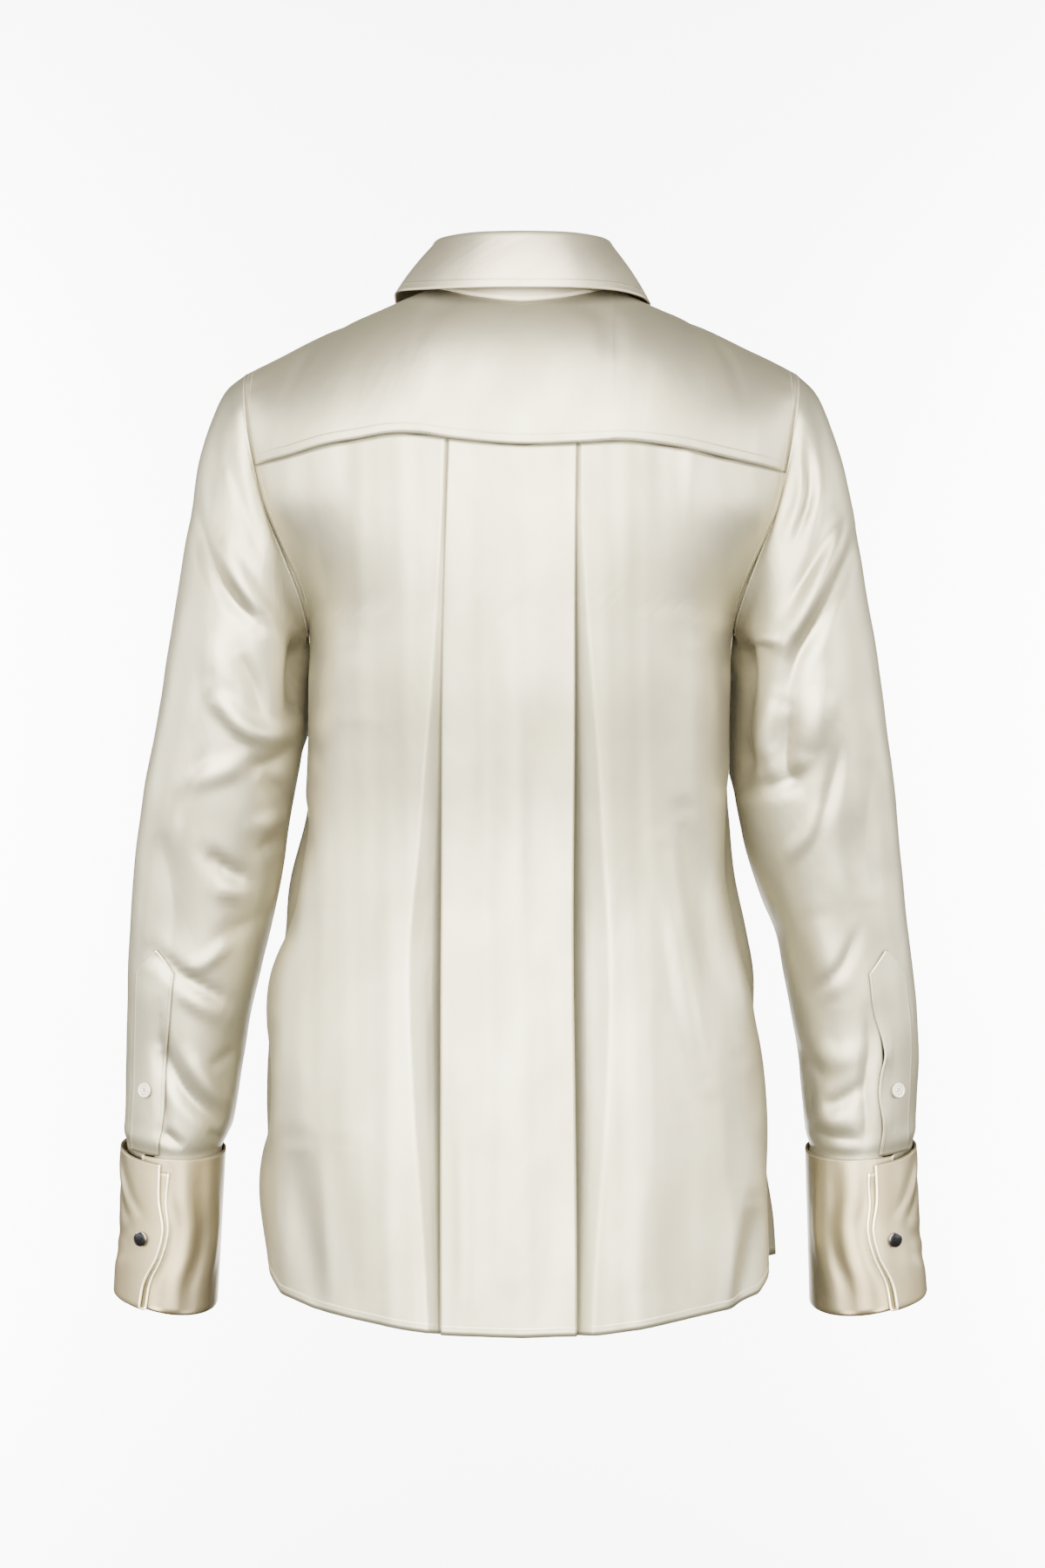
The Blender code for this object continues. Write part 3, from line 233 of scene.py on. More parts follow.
def crease_push(creases, x, z, crisp=0.0):
    """How far the creases push the cloth in at each point; crisp ones have a sharp valley."""
    total = np.zeros(np.broadcast(x, z).shape)
    for width, depth, *corners in creases:
        corners = refine(corners, 4 if len(corners) > 2 else 1)
        low, high = corners.min(axis=0) - width, corners.max(axis=0) + width
        if np.max(x) < low[0] or np.min(x) > high[0] or np.max(z) < low[1] or np.min(z) > high[1]:
            continue
        lengths = np.linalg.norm(np.diff(corners, axis=0), axis=1)
        run = running(lengths)
        nearest = np.full(total.shape, 1e9)
        along = np.zeros(total.shape)
        for k, (a, b) in enumerate(zip(corners, corners[1:])):
            t = ((x - a[0]) * (b[0] - a[0]) + (z - a[1]) * (b[1] - a[1])) / lengths[k] ** 2
            t = np.clip(t, 0, 1)
            off = np.hypot(x - a[0] - (b[0] - a[0]) * t, z - a[1] - (b[1] - a[1]) * t)
            along = np.where(off < nearest, run[k] + t * lengths[k], along)
            nearest = np.minimum(off, nearest)
        ends = np.sin(np.pi * np.clip(along / run[-1], 0.03, 0.97)) ** 0.6
        sharp = crisp if depth > 0 else 0.0
        across = hump(nearest / width) * (1 - sharp)
        across = across + sharp * np.maximum(0.0, 1 - nearest / width) ** 1.8
        total = total + depth * across * ends
    return total


def unrest(a, b, scale, size):
    """Slow uneven unrest of the cloth, in millimetres."""
    a = a / scale
    b = b / scale
    wave = np.sin(1.7 * a + 0.6 * b + 0.4) * np.sin(0.9 * b - 0.5 * a + 1.1)
    wave = wave + 0.6 * np.sin(2.9 * a - 1.3 * b + 2.0) * np.sin(1.9 * b + 0.7 * a)
    return size * (wave + 0.4 * np.sin(4.3 * a + 2.2 * b) * np.sin(3.1 * b - 1.7 * a + 0.8))


def ring(z_edge, side, back):
    """Half width and edge angle of the torso ring that meets the side seam here."""
    depth = curve(BODY, 3 if back else 4, z_edge)
    if z_edge <= UNDERARM_Z:
        return float(curve(BODY, 1 if side > 0 else 2, z_edge)), math.pi / 2
    out = float(curve(ARMHOLE, 1 if side > 0 else 2, z_edge))
    deep = abs(curve(ARMHOLE, 3 if back else 4, z_edge))
    angle = math.acos((deep / depth) ** (RING_POWER / 2))
    return out / math.sin(angle) ** (2 / RING_POWER), angle


def ring_depth(x, width, z, back):
    """Distance of the torso ring from the side-to-side plane."""
    share = np.minimum(1.0, np.abs(x) / width)
    return curve(BODY, 3 if back else 4, z) * (1 - share**RING_POWER) ** (1 / RING_POWER)


def sheet_normals(points):
    """Unit outward normals of a grid of points, rows down and columns to the right."""
    normal = np.cross(np.gradient(points, axis=0), np.gradient(points, axis=1))
    return normal / np.maximum(np.linalg.norm(normal, axis=2, keepdims=True), 1e-9)


def outer_face(points, cloth=CLOTH):
    """The outer face of a wall from its middle."""
    return points + sheet_normals(points) * cloth / 2


def arc_lengths(points, axis):
    """Distance along the rows or the columns of a grid, from its first line."""
    steps = np.linalg.norm(np.diff(points, axis=axis), axis=2)
    start = np.zeros_like(np.take(steps, [0], axis=axis))
    return np.concatenate([start, np.cumsum(steps, axis=axis)], axis=axis)


def add_object(name, data):
    """A new object in the scene."""
    thing = bpy.data.objects.new(name, data)
    bpy.context.scene.collection.objects.link(thing)
    return thing


def mesh_object(name, mesh, material):
    """A finished mesh as a smooth object of one material."""
    data = bpy.data.meshes.new(name)
    mesh.to_mesh(data)
    mesh.free()
    data.materials.append(material)
    for polygon in data.polygons:
        polygon.use_smooth = True
    return add_object(name, data)


def add_piece(name, mesh, material):
    """A finished mesh as one piece that rides on the blouse."""
    piece = mesh_object(name, mesh, material)
    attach(piece, "root")
    return piece


def shell(name, points, material, keep=None, welded=False, thickness=SILK):
    """A thin sheet of cloth bent over a grid of outer points, rows down, columns right."""
    rows, columns = points.shape[:2]
    across = arc_lengths(points, 1) * MM
    down = arc_lengths(points, 0) * MM
    spread = np.stack([across, down], axis=2).tolist()
    from_ends = np.stack([down, down[-1:] - down], axis=2).tolist()
    from_sides = np.stack([across, across[:, -1:] - across], axis=2).tolist()
    spots = (points * MM).tolist()
    mesh = bmesh.new()
    cloth = mesh.loops.layers.uv.new("cloth")
    edges = mesh.loops.layers.uv.new("edges")
    sides = mesh.loops.layers.uv.new("sides")
    bmesh.ops.create_grid(mesh, x_segments=columns - 1, y_segments=rows - 1, size=0.5)
    mesh.verts.index_update()
    place = []
    for vert in mesh.verts:
        r = round((0.5 - vert.co.y) * (rows - 1))
        c = round((vert.co.x + 0.5) * (columns - 1))
        place.append((r, c))
        vert.co = spots[r][c]
    dropped = []
    for face in mesh.faces:
        for loop in face.loops:
            r, c = place[loop.vert.index]
            loop[cloth].uv = spread[r][c]
            loop[edges].uv = from_ends[r][c]
            loop[sides].uv = from_sides[r][c]
        if keep is not None:
            corners = [place[vert.index] for vert in face.verts]
            if not keep[min(at[0] for at in corners), min(at[1] for at in corners)]:
                dropped.append(face)
    bmesh.ops.delete(mesh, geom=dropped, context="FACES")
    if welded:
        bmesh.ops.remove_doubles(mesh, verts=mesh.verts[:], dist=1e-6)
    piece = add_piece(name, mesh, material)
    wall = piece.modifiers.new("thickness", "SOLIDIFY")
    wall.thickness = thickness * MM
    wall.offset = -1.0
    wall.use_rim = True
    return piece


def along_edge(points, edge, distance, start=0.0, stop=1.0, lift=0.05):
    """Line on the cloth this far inside its top, foot, left or right edge, with normals."""
    normal = sheet_normals(points)
    if edge in ("left", "right"):
        points, normal = points.transpose(1, 0, 2), normal.transpose(1, 0, 2)
    if edge in ("foot", "right"):
        points, normal = points[::-1], normal[::-1]
    run = arc_lengths(points, 0)
    lines = []
    for grid in (points, normal):
        lines.append(
            np.stack(
                [
                    [np.interp(distance, run[:, c], grid[:, c, i]) for i in range(3)]
                    for c in range(grid.shape[1])
                ]
            )
        )
    first = int(start * (len(lines[0]) - 1))
    last = int(stop * (len(lines[0]) - 1)) + 1
    return (lines[0] + lines[1] * lift)[first:last], lines[1][first:last]


def stitches(name, points, rows, extra=(), pitch=2.7, length=2.0, thread=0.17):
    """Rows of lockstitch: one short rounded thread after another along each line.

    Each row is the edge, how far inside it the row runs, and where it starts and stops.
    """
    spots = []
    for path, normal in [along_edge(points, *row) for row in rows] + list(extra):
        run = run_along(path)
        for k in range(int(run[-1] / pitch)):
            at = (k + 0.5) * pitch
            a, b, n = (
                mathutils.Vector([np.interp(t, run, grid[:, i]) for i in range(3)])
                for t, grid in ((at - 0.8, path), (at + 0.8, path), (at, normal))
            )
            along = (b - a).normalized()
            side = along.cross(n).normalized()
            up = side.cross(along)
            turn = mathutils.Matrix((side * thread, up * thread, along * length / 2)).transposed()
            spots.append(mathutils.Matrix.Translation((a + b) / 2 * MM) @ (turn * MM).to_4x4())
    mesh = bmesh.new()
    batch = bpy.data.meshes.new("batch")
    for first in range(0, len(spots), 40):
        part = bmesh.new()
        for spot in spots[first : first + 40]:
            bmesh.ops.create_uvsphere(part, u_segments=6, v_segments=4, radius=1.0, matrix=spot)
        part.to_mesh(batch)
        part.free()
        mesh.from_mesh(batch)
    bpy.data.meshes.remove(batch)
    piece = add_piece(name, mesh, THREAD)
    return piece


def tint(code):
    """A screen colour such as E8E2D2 as linear red, green, blue and alpha."""
    parts = [int(code[k : k + 2], 16) / 255 for k in (0, 2, 4)]
    return (*[p / 12.92 if p < 0.04045 else ((p + 0.055) / 1.055) ** 2.4 for p in parts], 1.0)


def add_node(tree, kind, output, inputs=None, **settings):
    """One shader node with its settings; each input is a value or a socket to link."""
    node = tree.nodes.new(kind)
    for key, value in settings.items():
        setattr(node, key, value)
    for key, value in (inputs or {}).items():
        if isinstance(value, bpy.types.NodeSocket):
            tree.links.new(value, node.inputs[key])
        else:
            node.inputs[key].default_value = value
    return node.outputs[output]


def new_material(name, **values):
    """A Principled material, its node tree and its shader, with these socket values."""
    material = bpy.data.materials.new(name)
    material.use_nodes = True
    shader = material.node_tree.nodes["Principled BSDF"]
    for key, value in values.items():
        socket = shader.inputs[key.replace("_", " ")]
        socket.default_value = tint(value) if isinstance(value, str) else value
    return material, material.node_tree, shader


def cloth_noise(tree, cloth, scale, detail):
    """Noise stretched over the cloth: cells per metre across and down."""
    inputs = {"Vector": cloth, "Scale": (*scale, 1.0)}
    stretched = add_node(tree, "ShaderNodeMapping", "Vector", inputs)
    inputs = {"Vector": stretched, "Scale": 1.0, "Detail": detail}
    return add_node(tree, "ShaderNodeTexNoise", "Fac", inputs)


def edge_distance(tree, edge):
    """Distance from one edge of the cloth, in metres."""
    layer, axis, _ = EDGES[edge]
    source = add_node(tree, "ShaderNodeUVMap", "UV", uv_map=layer)
    return add_node(tree, "ShaderNodeSeparateXYZ", axis, {"Vector": source})


def uneven_gloss(name, scale, low, high, **values):
    """A material whose roughness varies softly between low and high over the piece."""
    material, tree, shader = new_material(name, **values)
    place = add_node(tree, "ShaderNodeTexCoord", "Object")
    cloud = add_node(tree, "ShaderNodeTexNoise", "Fac", {"Vector": place, "Scale": scale})
    roughness = add_node(
        tree,
        "ShaderNodeMapRange",
        "Result",
        {"Value": cloud, "From Min": 0.3, "From Max": 0.7, "To Min": low, "To Max": high},
        interpolation_type="SMOOTHSTEP",
    )
    tree.links.new(roughness, shader.inputs["Roughness"])
    return material, tree, shader, cloud


# The two colours and the result of a colour mix, by their place among the node's sockets
MIX_A = 6
MIX_B = 7
MIX_RESULT = 2
METAL_LUSTRE = 0.88
SILK_SPECULAR = 0.3
BAND_RAISE = 0.0002
SILK_GRAIN = [
    # cells per metre across and down, detail, strength, height in metres: warp threads
    # about 0.2 mm apart that run down the cloth, and slubs a few millimetres long
    ((5000.0, 300.0), 1.0, 0.1, 0.0001),
    ((90.0, 45.0), 2.0, 0.3, 0.0008),
]
EDGES = {
    # distance layer and its axis, then how finely a seam puckers across and down
    "top": ("edges", "X", (150.0, 30.0)),
    "foot": ("edges", "Y", (150.0, 30.0)),
    "left": ("sides", "X", (30.0, 150.0)),
    "right": ("sides", "Y", (30.0, 150.0)),
}


def satin(name, colour, shade, bands=(), lustre=0.45, rim=None):
    """Silk satin: smooth lustre, faint mottle, fine warp threads and pressed seam bands.

    Each band is the edge it lies along, its width in metres, and whether its seam puckers.
    The rim is a painted highlight: a pale colour laid along the pressed edges at the sides, where
    the layers meet and catch the light.
    """
    metal, specular = METAL_LUSTRE, SILK_SPECULAR
    material, tree, shader = new_material(name, Metallic=metal, Specular_IOR_Level=specular)
    cloth = add_node(tree, "ShaderNodeUVMap", "UV", uv_map="cloth")
    mottle = cloth_noise(tree, cloth, (16.0, 9.0), 3.0)
    shading = add_node(
        tree,
        "ShaderNodeMapRange",
        "Result",
        {"Value": mottle, "From Min": 0.35, "From Max": 0.65, "To Min": 0.0, "To Max": 1.0},
        interpolation_type="SMOOTHSTEP",
    )
    cloth_colour = add_node(
        tree,
        "ShaderNodeMix",
        MIX_RESULT,
        {"Factor": shading, MIX_A: tint(colour), MIX_B: tint(shade)},
        data_type="RGBA",
    )
    # Painted highlight: the rim colour is mixed in along the left and right edges.
    if rim:
        left, right = (edge_distance(tree, side) for side in ("left", "right"))
        nearest = add_node(tree, "ShaderNodeMath", 0, {0: left, 1: right}, operation="MINIMUM")
        painted_highlight_share = add_node(
            tree,
            "ShaderNodeMapRange",
            "Result",
            {"Value": nearest, "From Min": 0.0008, "From Max": 0.0018, "To Min": 1.0, "To Max": 0.0},
            interpolation_type="SMOOTHSTEP",
        )
        cloth_colour = add_node(
            tree,
            "ShaderNodeMix",
            MIX_RESULT,
            {"Factor": painted_highlight_share, MIX_A: cloth_colour, MIX_B: tint(rim)},
            data_type="RGBA",
        )
    tree.links.new(cloth_colour, shader.inputs["Base Color"])
    glossy, matt = lustre - 0.03, lustre + 0.05
    roughness = add_node(
        tree,
        "ShaderNodeMapRange",
        "Result",
        {"Value": mottle, "From Min": 0.3, "From Max": 0.7, "To Min": glossy, "To Max": matt},
        interpolation_type="SMOOTHSTEP",
    )
    tree.links.new(roughness, shader.inputs["Roughness"])
    below = {}
    for scale, detail, strength, height in SILK_GRAIN:
        grain = cloth_noise(tree, cloth, scale, detail)
        inputs = {"Height": grain, "Strength": strength, "Distance": height, **below}
        below = {"Normal": add_node(tree, "ShaderNodeBump", "Normal", inputs)}
    for edge, width, puckers in bands:
        distance = edge_distance(tree, edge)
        near, far = width - 0.0006, width + 0.0006
        band = add_node(
            tree,
            "ShaderNodeMapRange",
            "Result",
            {"Value": distance, "From Min": near, "From Max": far, "To Min": 1.0, "To Max": 0.0},
            interpolation_type="SMOOTHSTEP",
        )
        if puckers:
            near, far = width * 0.4, width * 2.6
            inputs = {"Value": distance, "From Min": near, "From Max": far}
            inputs.update({"To Min": puckers, "To Max": 0.0})
            fading = add_node(
                tree, "ShaderNodeMapRange", "Result", inputs, interpolation_type="SMOOTHSTEP"
            )
            waves = cloth_noise(tree, cloth, EDGES[edge][2], 2.0)
            pucker = add_node(tree, "ShaderNodeMath", 0, {0: waves, 1: fading}, operation="MULTIPLY")
            band = add_node(tree, "ShaderNodeMath", 0, {0: band, 1: pucker}, operation="ADD")
        inputs = {"Height": band, "Strength": 1.0, "Distance": BAND_RAISE, **below}
        below = {"Normal": add_node(tree, "ShaderNodeBump", "Normal", inputs)}
    tree.links.new(below["Normal"], shader.inputs["Normal"])
    return material


# Thread: matt ivory silk thread, a little darker than the satin.
THREAD = new_material("ivory_silk_thread", Base_Color="8F8771", Roughness=0.6)[0]


def back_height(z_edge, x, width):
    """Height of a back row at x: rows bend from the yoke seam's line to the hem's."""
    q = (z_edge - BACK_TOP_Z) / (HEM_SIDE_Z - BACK_TOP_Z)
    x = np.asarray(x, float)
    top = curve(YOKE_SEAM, 1, np.clip(x, *YOKE_ENDS)) - SEAM
    top_edge = curve(YOKE_SEAM, 1, np.where(x > 0, YOKE_ENDS[1], YOKE_ENDS[0])) - SEAM
    rise = (top - top_edge) * max(0.0, 1 - q) ** 1.5 + (top_edge - BACK_TOP_Z) * max(0, 1 - 6 * q)
    return z_edge + rise + (straight(HEM, 1, np.abs(x) / width) - HEM_SIDE_Z) * q**1.5


def back_push(x, z):
    """How far the back lies inside its ring: creases and the silk's unrest."""
    drift = unrest(x, z * 0.3, 30.0, 0.7) + unrest(x + 60, z * 0.1, 14.0, 0.45)
    return crease_push(BACK_CREASES, x, z) + drift


def back_spot(x, z, width, side, push):
    """Points of the back's cloth line at x, pushed in from the torso ring."""
    y = ring_depth(x, width, z, True)
    slope = y - ring_depth(np.minimum(np.abs(x) + 1.0, width), width, z, True)
    size = np.hypot(slope, 1.0)
    return np.stack([side * (x - slope / size * push), y - push / size, z], axis=1)


def back_half(z_edge, side):
    """Half a row of the back, from the side seam to the top of the folded pleat."""
    width, edge_angle = ring(z_edge, side, True)
    fold_x = abs(float(curve(PLEAT, 1 if side > 0 else 2, z_edge)))
    tuck = float(curve(PLEAT, 3, z_edge))
    reach = float(curve(PLEAT_REACH, 1 if side > 0 else 2, z_edge))
    roll = float(curve(PLEAT_ROLL, 1, z_edge))
    low = max(4 * roll + 0.2, PLEAT_SLOPE * reach)
    angles = np.linspace(math.asin((fold_x / width) ** (RING_POWER / 2)), edge_angle, 240)
    xs = width * np.sin(angles) ** (2 / RING_POWER)
    ys = curve(BODY, 3, z_edge) * np.maximum(np.cos(angles), 0) ** (2 / RING_POWER)
    arc = running(np.hypot(np.diff(xs), np.diff(ys)))
    shares = 1 - 0.985 * (1 - np.linspace(1, 0, 84) ** 1.35)
    x = np.interp(shares * arc[-1], arc, xs)
    z = back_height(z_edge, side * x, width)
    push = low * np.clip(1 - (x - fold_x) / reach, 0, 1)
    push = push + back_push(side * x, z) * np.minimum(1.0, (1 - shares) / 0.1)
    outer = back_spot(x, z, width, side, push)
    outer[:, 1] += np.interp(shares * arc[-1], arc, ys) - ring_depth(x, width, z_edge, True)
    outer[0, 1] += SEAM / 2
    drawn_in = curve(SIDE_WAVE[side], 1, z_edge) * hump((1 - shares) * arc[-1] / 45)
    outer[:, 0] -= side * drawn_in
    turn = np.radians(np.linspace(-80, 80, 7))
    turn = np.stack([roll * np.cos(turn), roll * np.sin(turn) - roll], axis=1)
    path = [(-tuck * s, -low) for s in (0.0, 0.35, 0.7, 1.0)]
    path += [(-tuck - along, rise + 2 * roll - low) for along, rise in turn]
    path += [
        (-tuck + (tuck - roll) * s, (2 * roll - low) * (1 - s) - 2 * roll * s)
        for s in (0.0, 0.3, 0.7, 1.0)
    ]
    path += [(along - roll, rise) for along, rise in turn]
    path = np.array([*path, (-roll, 0.0)])
    x = fold_x + path[:, 0]
    z = back_height(z_edge, side * x, width)
    folded = back_spot(x, z, width, side, back_push(side * x, z) - path[:, 1])
    return np.concatenate([outer, folded]), fold_x - roll, width


def back_row(z_edge):
    """One row of the back from the left seam to the right seam, with its pleats."""
    left, left_x, left_width = back_half(z_edge, 1)
    right, right_x, right_width = back_half(z_edge, -1)
    x = np.linspace(left_x, -right_x, 38)[1:-1]
    width = np.where(x > 0, left_width, right_width)
    z = back_height(z_edge, x, width)
    centre = back_spot(np.abs(x), z, width, np.sign(x), back_push(x, z))
    return np.concatenate([left, centre, right[::-1]])


BACK_SATIN = satin(
    "ivory_silk_satin_back",
    "A29B83",
    "9A9479",
    [("foot", 0.006, 0.5), ("left", 0.006, 0.6), ("right", 0.006, 0.6)],
)

BACK_ROWS = 190
back_points = [back_row(z) for z in np.linspace(BACK_TOP_Z, HEM_SIDE_Z, BACK_ROWS)]
back_points = outer_face(np.array(back_points))
back = shell("back_silk", back_points, BACK_SATIN)
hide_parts("back")
ARMHOLE_SHARE = (BACK_TOP_Z - UNDERARM_Z) / (BACK_TOP_Z - HEM_SIDE_Z)
HEM_STITCH = 5.0
SEAM_STITCH = 5.6
back_sewing = stitches(
    "back_stitches",
    back_points,
    [
        ("foot", HEM_STITCH),
        ("left", SEAM_STITCH, 0.0, ARMHOLE_SHARE * 0.97),
        ("right", SEAM_STITCH, 0.0, ARMHOLE_SHARE * 0.97),
    ],
)

# ---- Yoke ----------------------------------------------------------------------------
# One layer of the same satin over both shoulders, cut across from armhole to armhole.
# Its seam onto the back is pressed up and held with two rows of topstitching.

RIDGE = [(0, 18), (30, 17), (50, 15), (62, 13), (85, 3.5), (186, -43.5), (190, -45.5)]
NECK = [
    # seam x, y, z, then stand top x, y, z, from centre back to centre front
    (0, 55, 0, 0, 51, 41),
    (16, 53, 1.2, 15.5, 49.5, 41),
    (31, 47.5, 3.6, 29.5, 45, 41),
    (46, 37.5, 7.5, 43, 35.5, 40.5),
    (57, 22, 11, 52.5, 21, 40),
    (61.5, 6, 12.8, 56, 6, 39),
    (62.5, -10, 11.5, 56.5, -9, 37),
    (60.5, -24, 8, 55, -22, 33),
    (56, -34, 1.5, 51, -32, 26),
    (47, -44, -12, 43, -41.5, 14),
    (34, -51.5, -28, 32, -49, -1),
    (18, -56.5, -42, 17, -54.5, -14),
    (0, -58, -47, 0, -56, -19),
]
NECK_CUTS = 6
NECK_CREST_ROW = 5
NECK_SIDE = 62.3
CREST_TO_CHEST = 0.94
SHOULDER_TIP = 186.0
YOKE_FRONT_DEPTH = 30.0
TIP_DEPTH = 51.0
BACK_STEPS = np.linspace(0, 1, 46)
FRONT_STEPS = np.linspace(0, 1, 13)[1:]
YOKE_CREASES = [
    # half width, depth in, then points across and from behind forwards
    (9, 1.1, (-150, 70), (-120, 20), (-92, -14)),
    (10, 1.0, (158, 62), (128, 18), (96, -12)),
    (14, 1.2, (-60, 86), (-54, 62), (-30, 52)),
    (14, 1.0, (66, 80), (60, 58), (36, 50)),
]


def ridge_height(x, side):
    """Height of the shoulder's crest, a little lower to the wearer's right."""
    drop = 0.6 if side < 0 else 0.0
    return curve(RIDGE, 1, x) - drop * np.minimum(1.0, x / 62)


def neck_side(y):
    """Distance out and height of the neck seam this far in front of the crest."""
    rows = refine(NECK, NECK_CUTS)[NECK_CUTS * NECK_CREST_ROW :]
    return np.interp(y, -rows[:, 1], rows[:, 0]), np.interp(y, -rows[:, 1], rows[:, 2])


def armhole_edge(side, back, z):
    """Distance out and depth of the armhole loop at these heights."""
    column = 1 if side > 0 else 2
    return curve(ARMHOLE, column, z), curve(ARMHOLE, 3 if back else 4, z)


def shoulder_front(x, side, last, steps):
    """Yoke points in front of the crest: it rounds over into the chest."""
    deep = TIP_DEPTH
    if not last:
        width = ring(CHEST_Z, side, False)[0]
        deep = ring_depth(x * CREST_TO_CHEST, width, CHEST_Z, False)
    y = YOKE_FRONT_DEPTH * steps
    crest = ridge_height(x, side)
    return y, CHEST_Z + (crest - CHEST_Z) * np.sqrt(1 - (y / deep) ** 2)


def yoke_column(side, x_ridge):
    """One line of the yoke from the back seam over the crest to the front seam."""
    end_x = YOKE_ENDS[1] if side > 0 else -YOKE_ENDS[0]
    x_seam = x_ridge * end_x / SHOULDER_TIP
    z_seam = float(curve(YOKE_SEAM, 1, side * x_seam))
    y_seam = float(ring_depth(x_seam, ring(BACK_TOP_Z, side, True)[0], z_seam, True))
    on_neck = x_ridge < NECK_SIDE
    y_end, z_end = 0.0, float(ridge_height(x_ridge, side))
    if on_neck:
        rows = refine(NECK, NECK_CUTS)[: NECK_CUTS * NECK_CREST_ROW + 1]
        y_end = float(np.interp(x_ridge, rows[:, 0], rows[:, 1]))
        z_end = float(np.interp(x_ridge, rows[:, 0], rows[:, 2]))
    end = math.acos(min(1.0, y_end / y_seam))
    z_top = z_seam + (z_end - z_seam) / math.sin(end)
    x_top = x_seam + (x_ridge - x_seam) / math.sin(end)
    share = np.sin(end * BACK_STEPS)
    x = x_seam + (x_top - x_seam) * share
    z = z_seam + (z_top - z_seam) * share
    column = np.stack([x, y_seam * np.cos(end * BACK_STEPS), z], axis=1)
    if on_neck:
        return np.concatenate([column, np.repeat(column[-1:], len(FRONT_STEPS), axis=0)])
    y, z = shoulder_front(x_ridge, side, False, FRONT_STEPS)
    x = np.full(len(y), x_ridge)
    near = max(0.0, 1 - (x_ridge - NECK_SIDE) / 25)
    neck_x, neck_z = neck_side(y)
    x = x + (neck_x - NECK_SIDE) * near
    z = z + (neck_z - shoulder_front(NECK_SIDE, side, False, FRONT_STEPS)[1]) * near
    return np.concatenate([column, np.stack([x, -y, z], axis=1)])


def armhole_column(side):
    """The yoke's edge along the armhole seam, step for step with its other lines."""
    column = yoke_column(side, SHOULDER_TIP)
    tip = ARMHOLE[0][0]
    z = column[0, 2] + (tip - column[0, 2]) * np.sin(math.pi / 2 * BACK_STEPS)
    x, y = armhole_edge(side, True, z)
    back_part = np.stack([x, y, z], axis=1)
    y, z = shoulder_front(SHOULDER_TIP, side, True, FRONT_STEPS)
    x, _ = armhole_edge(side, False, z)
    return np.concatenate([back_part, np.stack([x, -y, z], axis=1)])


YOKE_SATIN = satin(
    "ivory_silk_satin_yoke",
    "A29B83",
    "999279",
    [("top", 0.0072, 0.7), ("foot", 0.005, 0.5), ("left", 0.006, 0.9), ("right", 0.006, 0.9)],
)

yoke_across = np.concatenate(
    [np.linspace(0, 58, 24), [59.8, 61.3], np.linspace(NECK_SIDE, SHOULDER_TIP, 54)]
)
yoke_halves = []
for side in (-1, 1):
    lines = np.array([yoke_column(side, x) for x in yoke_across])
    change = armhole_column(side) - lines[-1]
    fade = np.clip((yoke_across - 150) / (SHOULDER_TIP - 150), 0, 1) ** 2
    lines = lines + change * fade[:, None, None]
    yoke_halves.append(lines * np.array([side, 1, 1]))
yoke_points = np.concatenate([yoke_halves[0][::-1], yoke_halves[1][1:]]).transpose(1, 0, 2)
yoke_push = crease_push(YOKE_CREASES, yoke_points[..., 0], yoke_points[..., 1])
yoke_push = yoke_push + unrest(yoke_points[..., 0], yoke_points[..., 1], 30.0, 0.3)
yoke_points = yoke_points + sheet_normals(yoke_points) * (CLOTH / 2 - yoke_push)[..., None]
off_neck = np.concatenate([yoke_across[::-1], yoke_across[1:]]) > NECK_SIDE - 0.1
yoke_keep = np.ones((yoke_points.shape[0] - 1, yoke_points.shape[1] - 1), bool)
yoke_keep[len(BACK_STEPS) - 1 :] = off_neck[:-1] & off_neck[1:]
yoke = shell("yoke_silk", yoke_points, YOKE_SATIN, keep=yoke_keep)
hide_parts("yoke")
yoke_sewing = stitches(
    "yoke_stitches",
    yoke_points,
    [("top", 1.2), ("top", 6.6), ("left", SEAM_STITCH), ("right", SEAM_STITCH)],
)

# ---- Fronts and button band ----------------------------------------------------------
# Two shirt fronts of the same satin, the right one lapped over the left at the centre.
# A folded band is stitched down the right edge and carries the buttonholes.

FRONT_TOP_X = (185.0, 167, 146, 126, 106, 88, 73, 61.5, 55, 45, 33)
FRONT_SHARES = (1.0, 0.91, 0.82, 0.73, 0.64, 0.56, 0.48, 0.405, 0.335, 0.27, 0.205)
YOKE_FRONT_GAP = 0.7
NECK_CORNER = 57.5
BAND_HALF = 13.0
LAP_SHARE = 0.1
FRONT_CREASES = [
    (26, 4, (128, -95), (126, -160), (122, -235)),
    (26, 4, (-128, -95), (-126, -160), (-122, -235)),
    (34, 5, (74, -240), (72, -420), (70, -600)),
    (34, 5, (-80, -250), (-76, -420), (-72, -610)),
    (28, 4.5, (118, -330), (124, -620)),
    (28, 4.5, (-122, -340), (-126, -600)),
    (12, 2.5, (138, -215), (112, -246), (84, -262)),
    (12, 2.5, (-136, -215), (-108, -240), (-80, -262)),
    (9, -1.6, (134, -236), (104, -262), (78, -272)),
    (14, 2, (60, -60), (70, -130), (66, -220)),
    (14, 2, (-60, -60), (-66, -130), (-62, -220)),
    (12, -2, (44, -420), (40, -560), (44, -650)),
    (12, -2, (-46, -440), (-42, -560), (-44, -650)),
    (10, 2, (96, -560), (94, -610), (96, -655)),
    (10, 2, (-100, -560), (-98, -610), (-96, -655)),
]


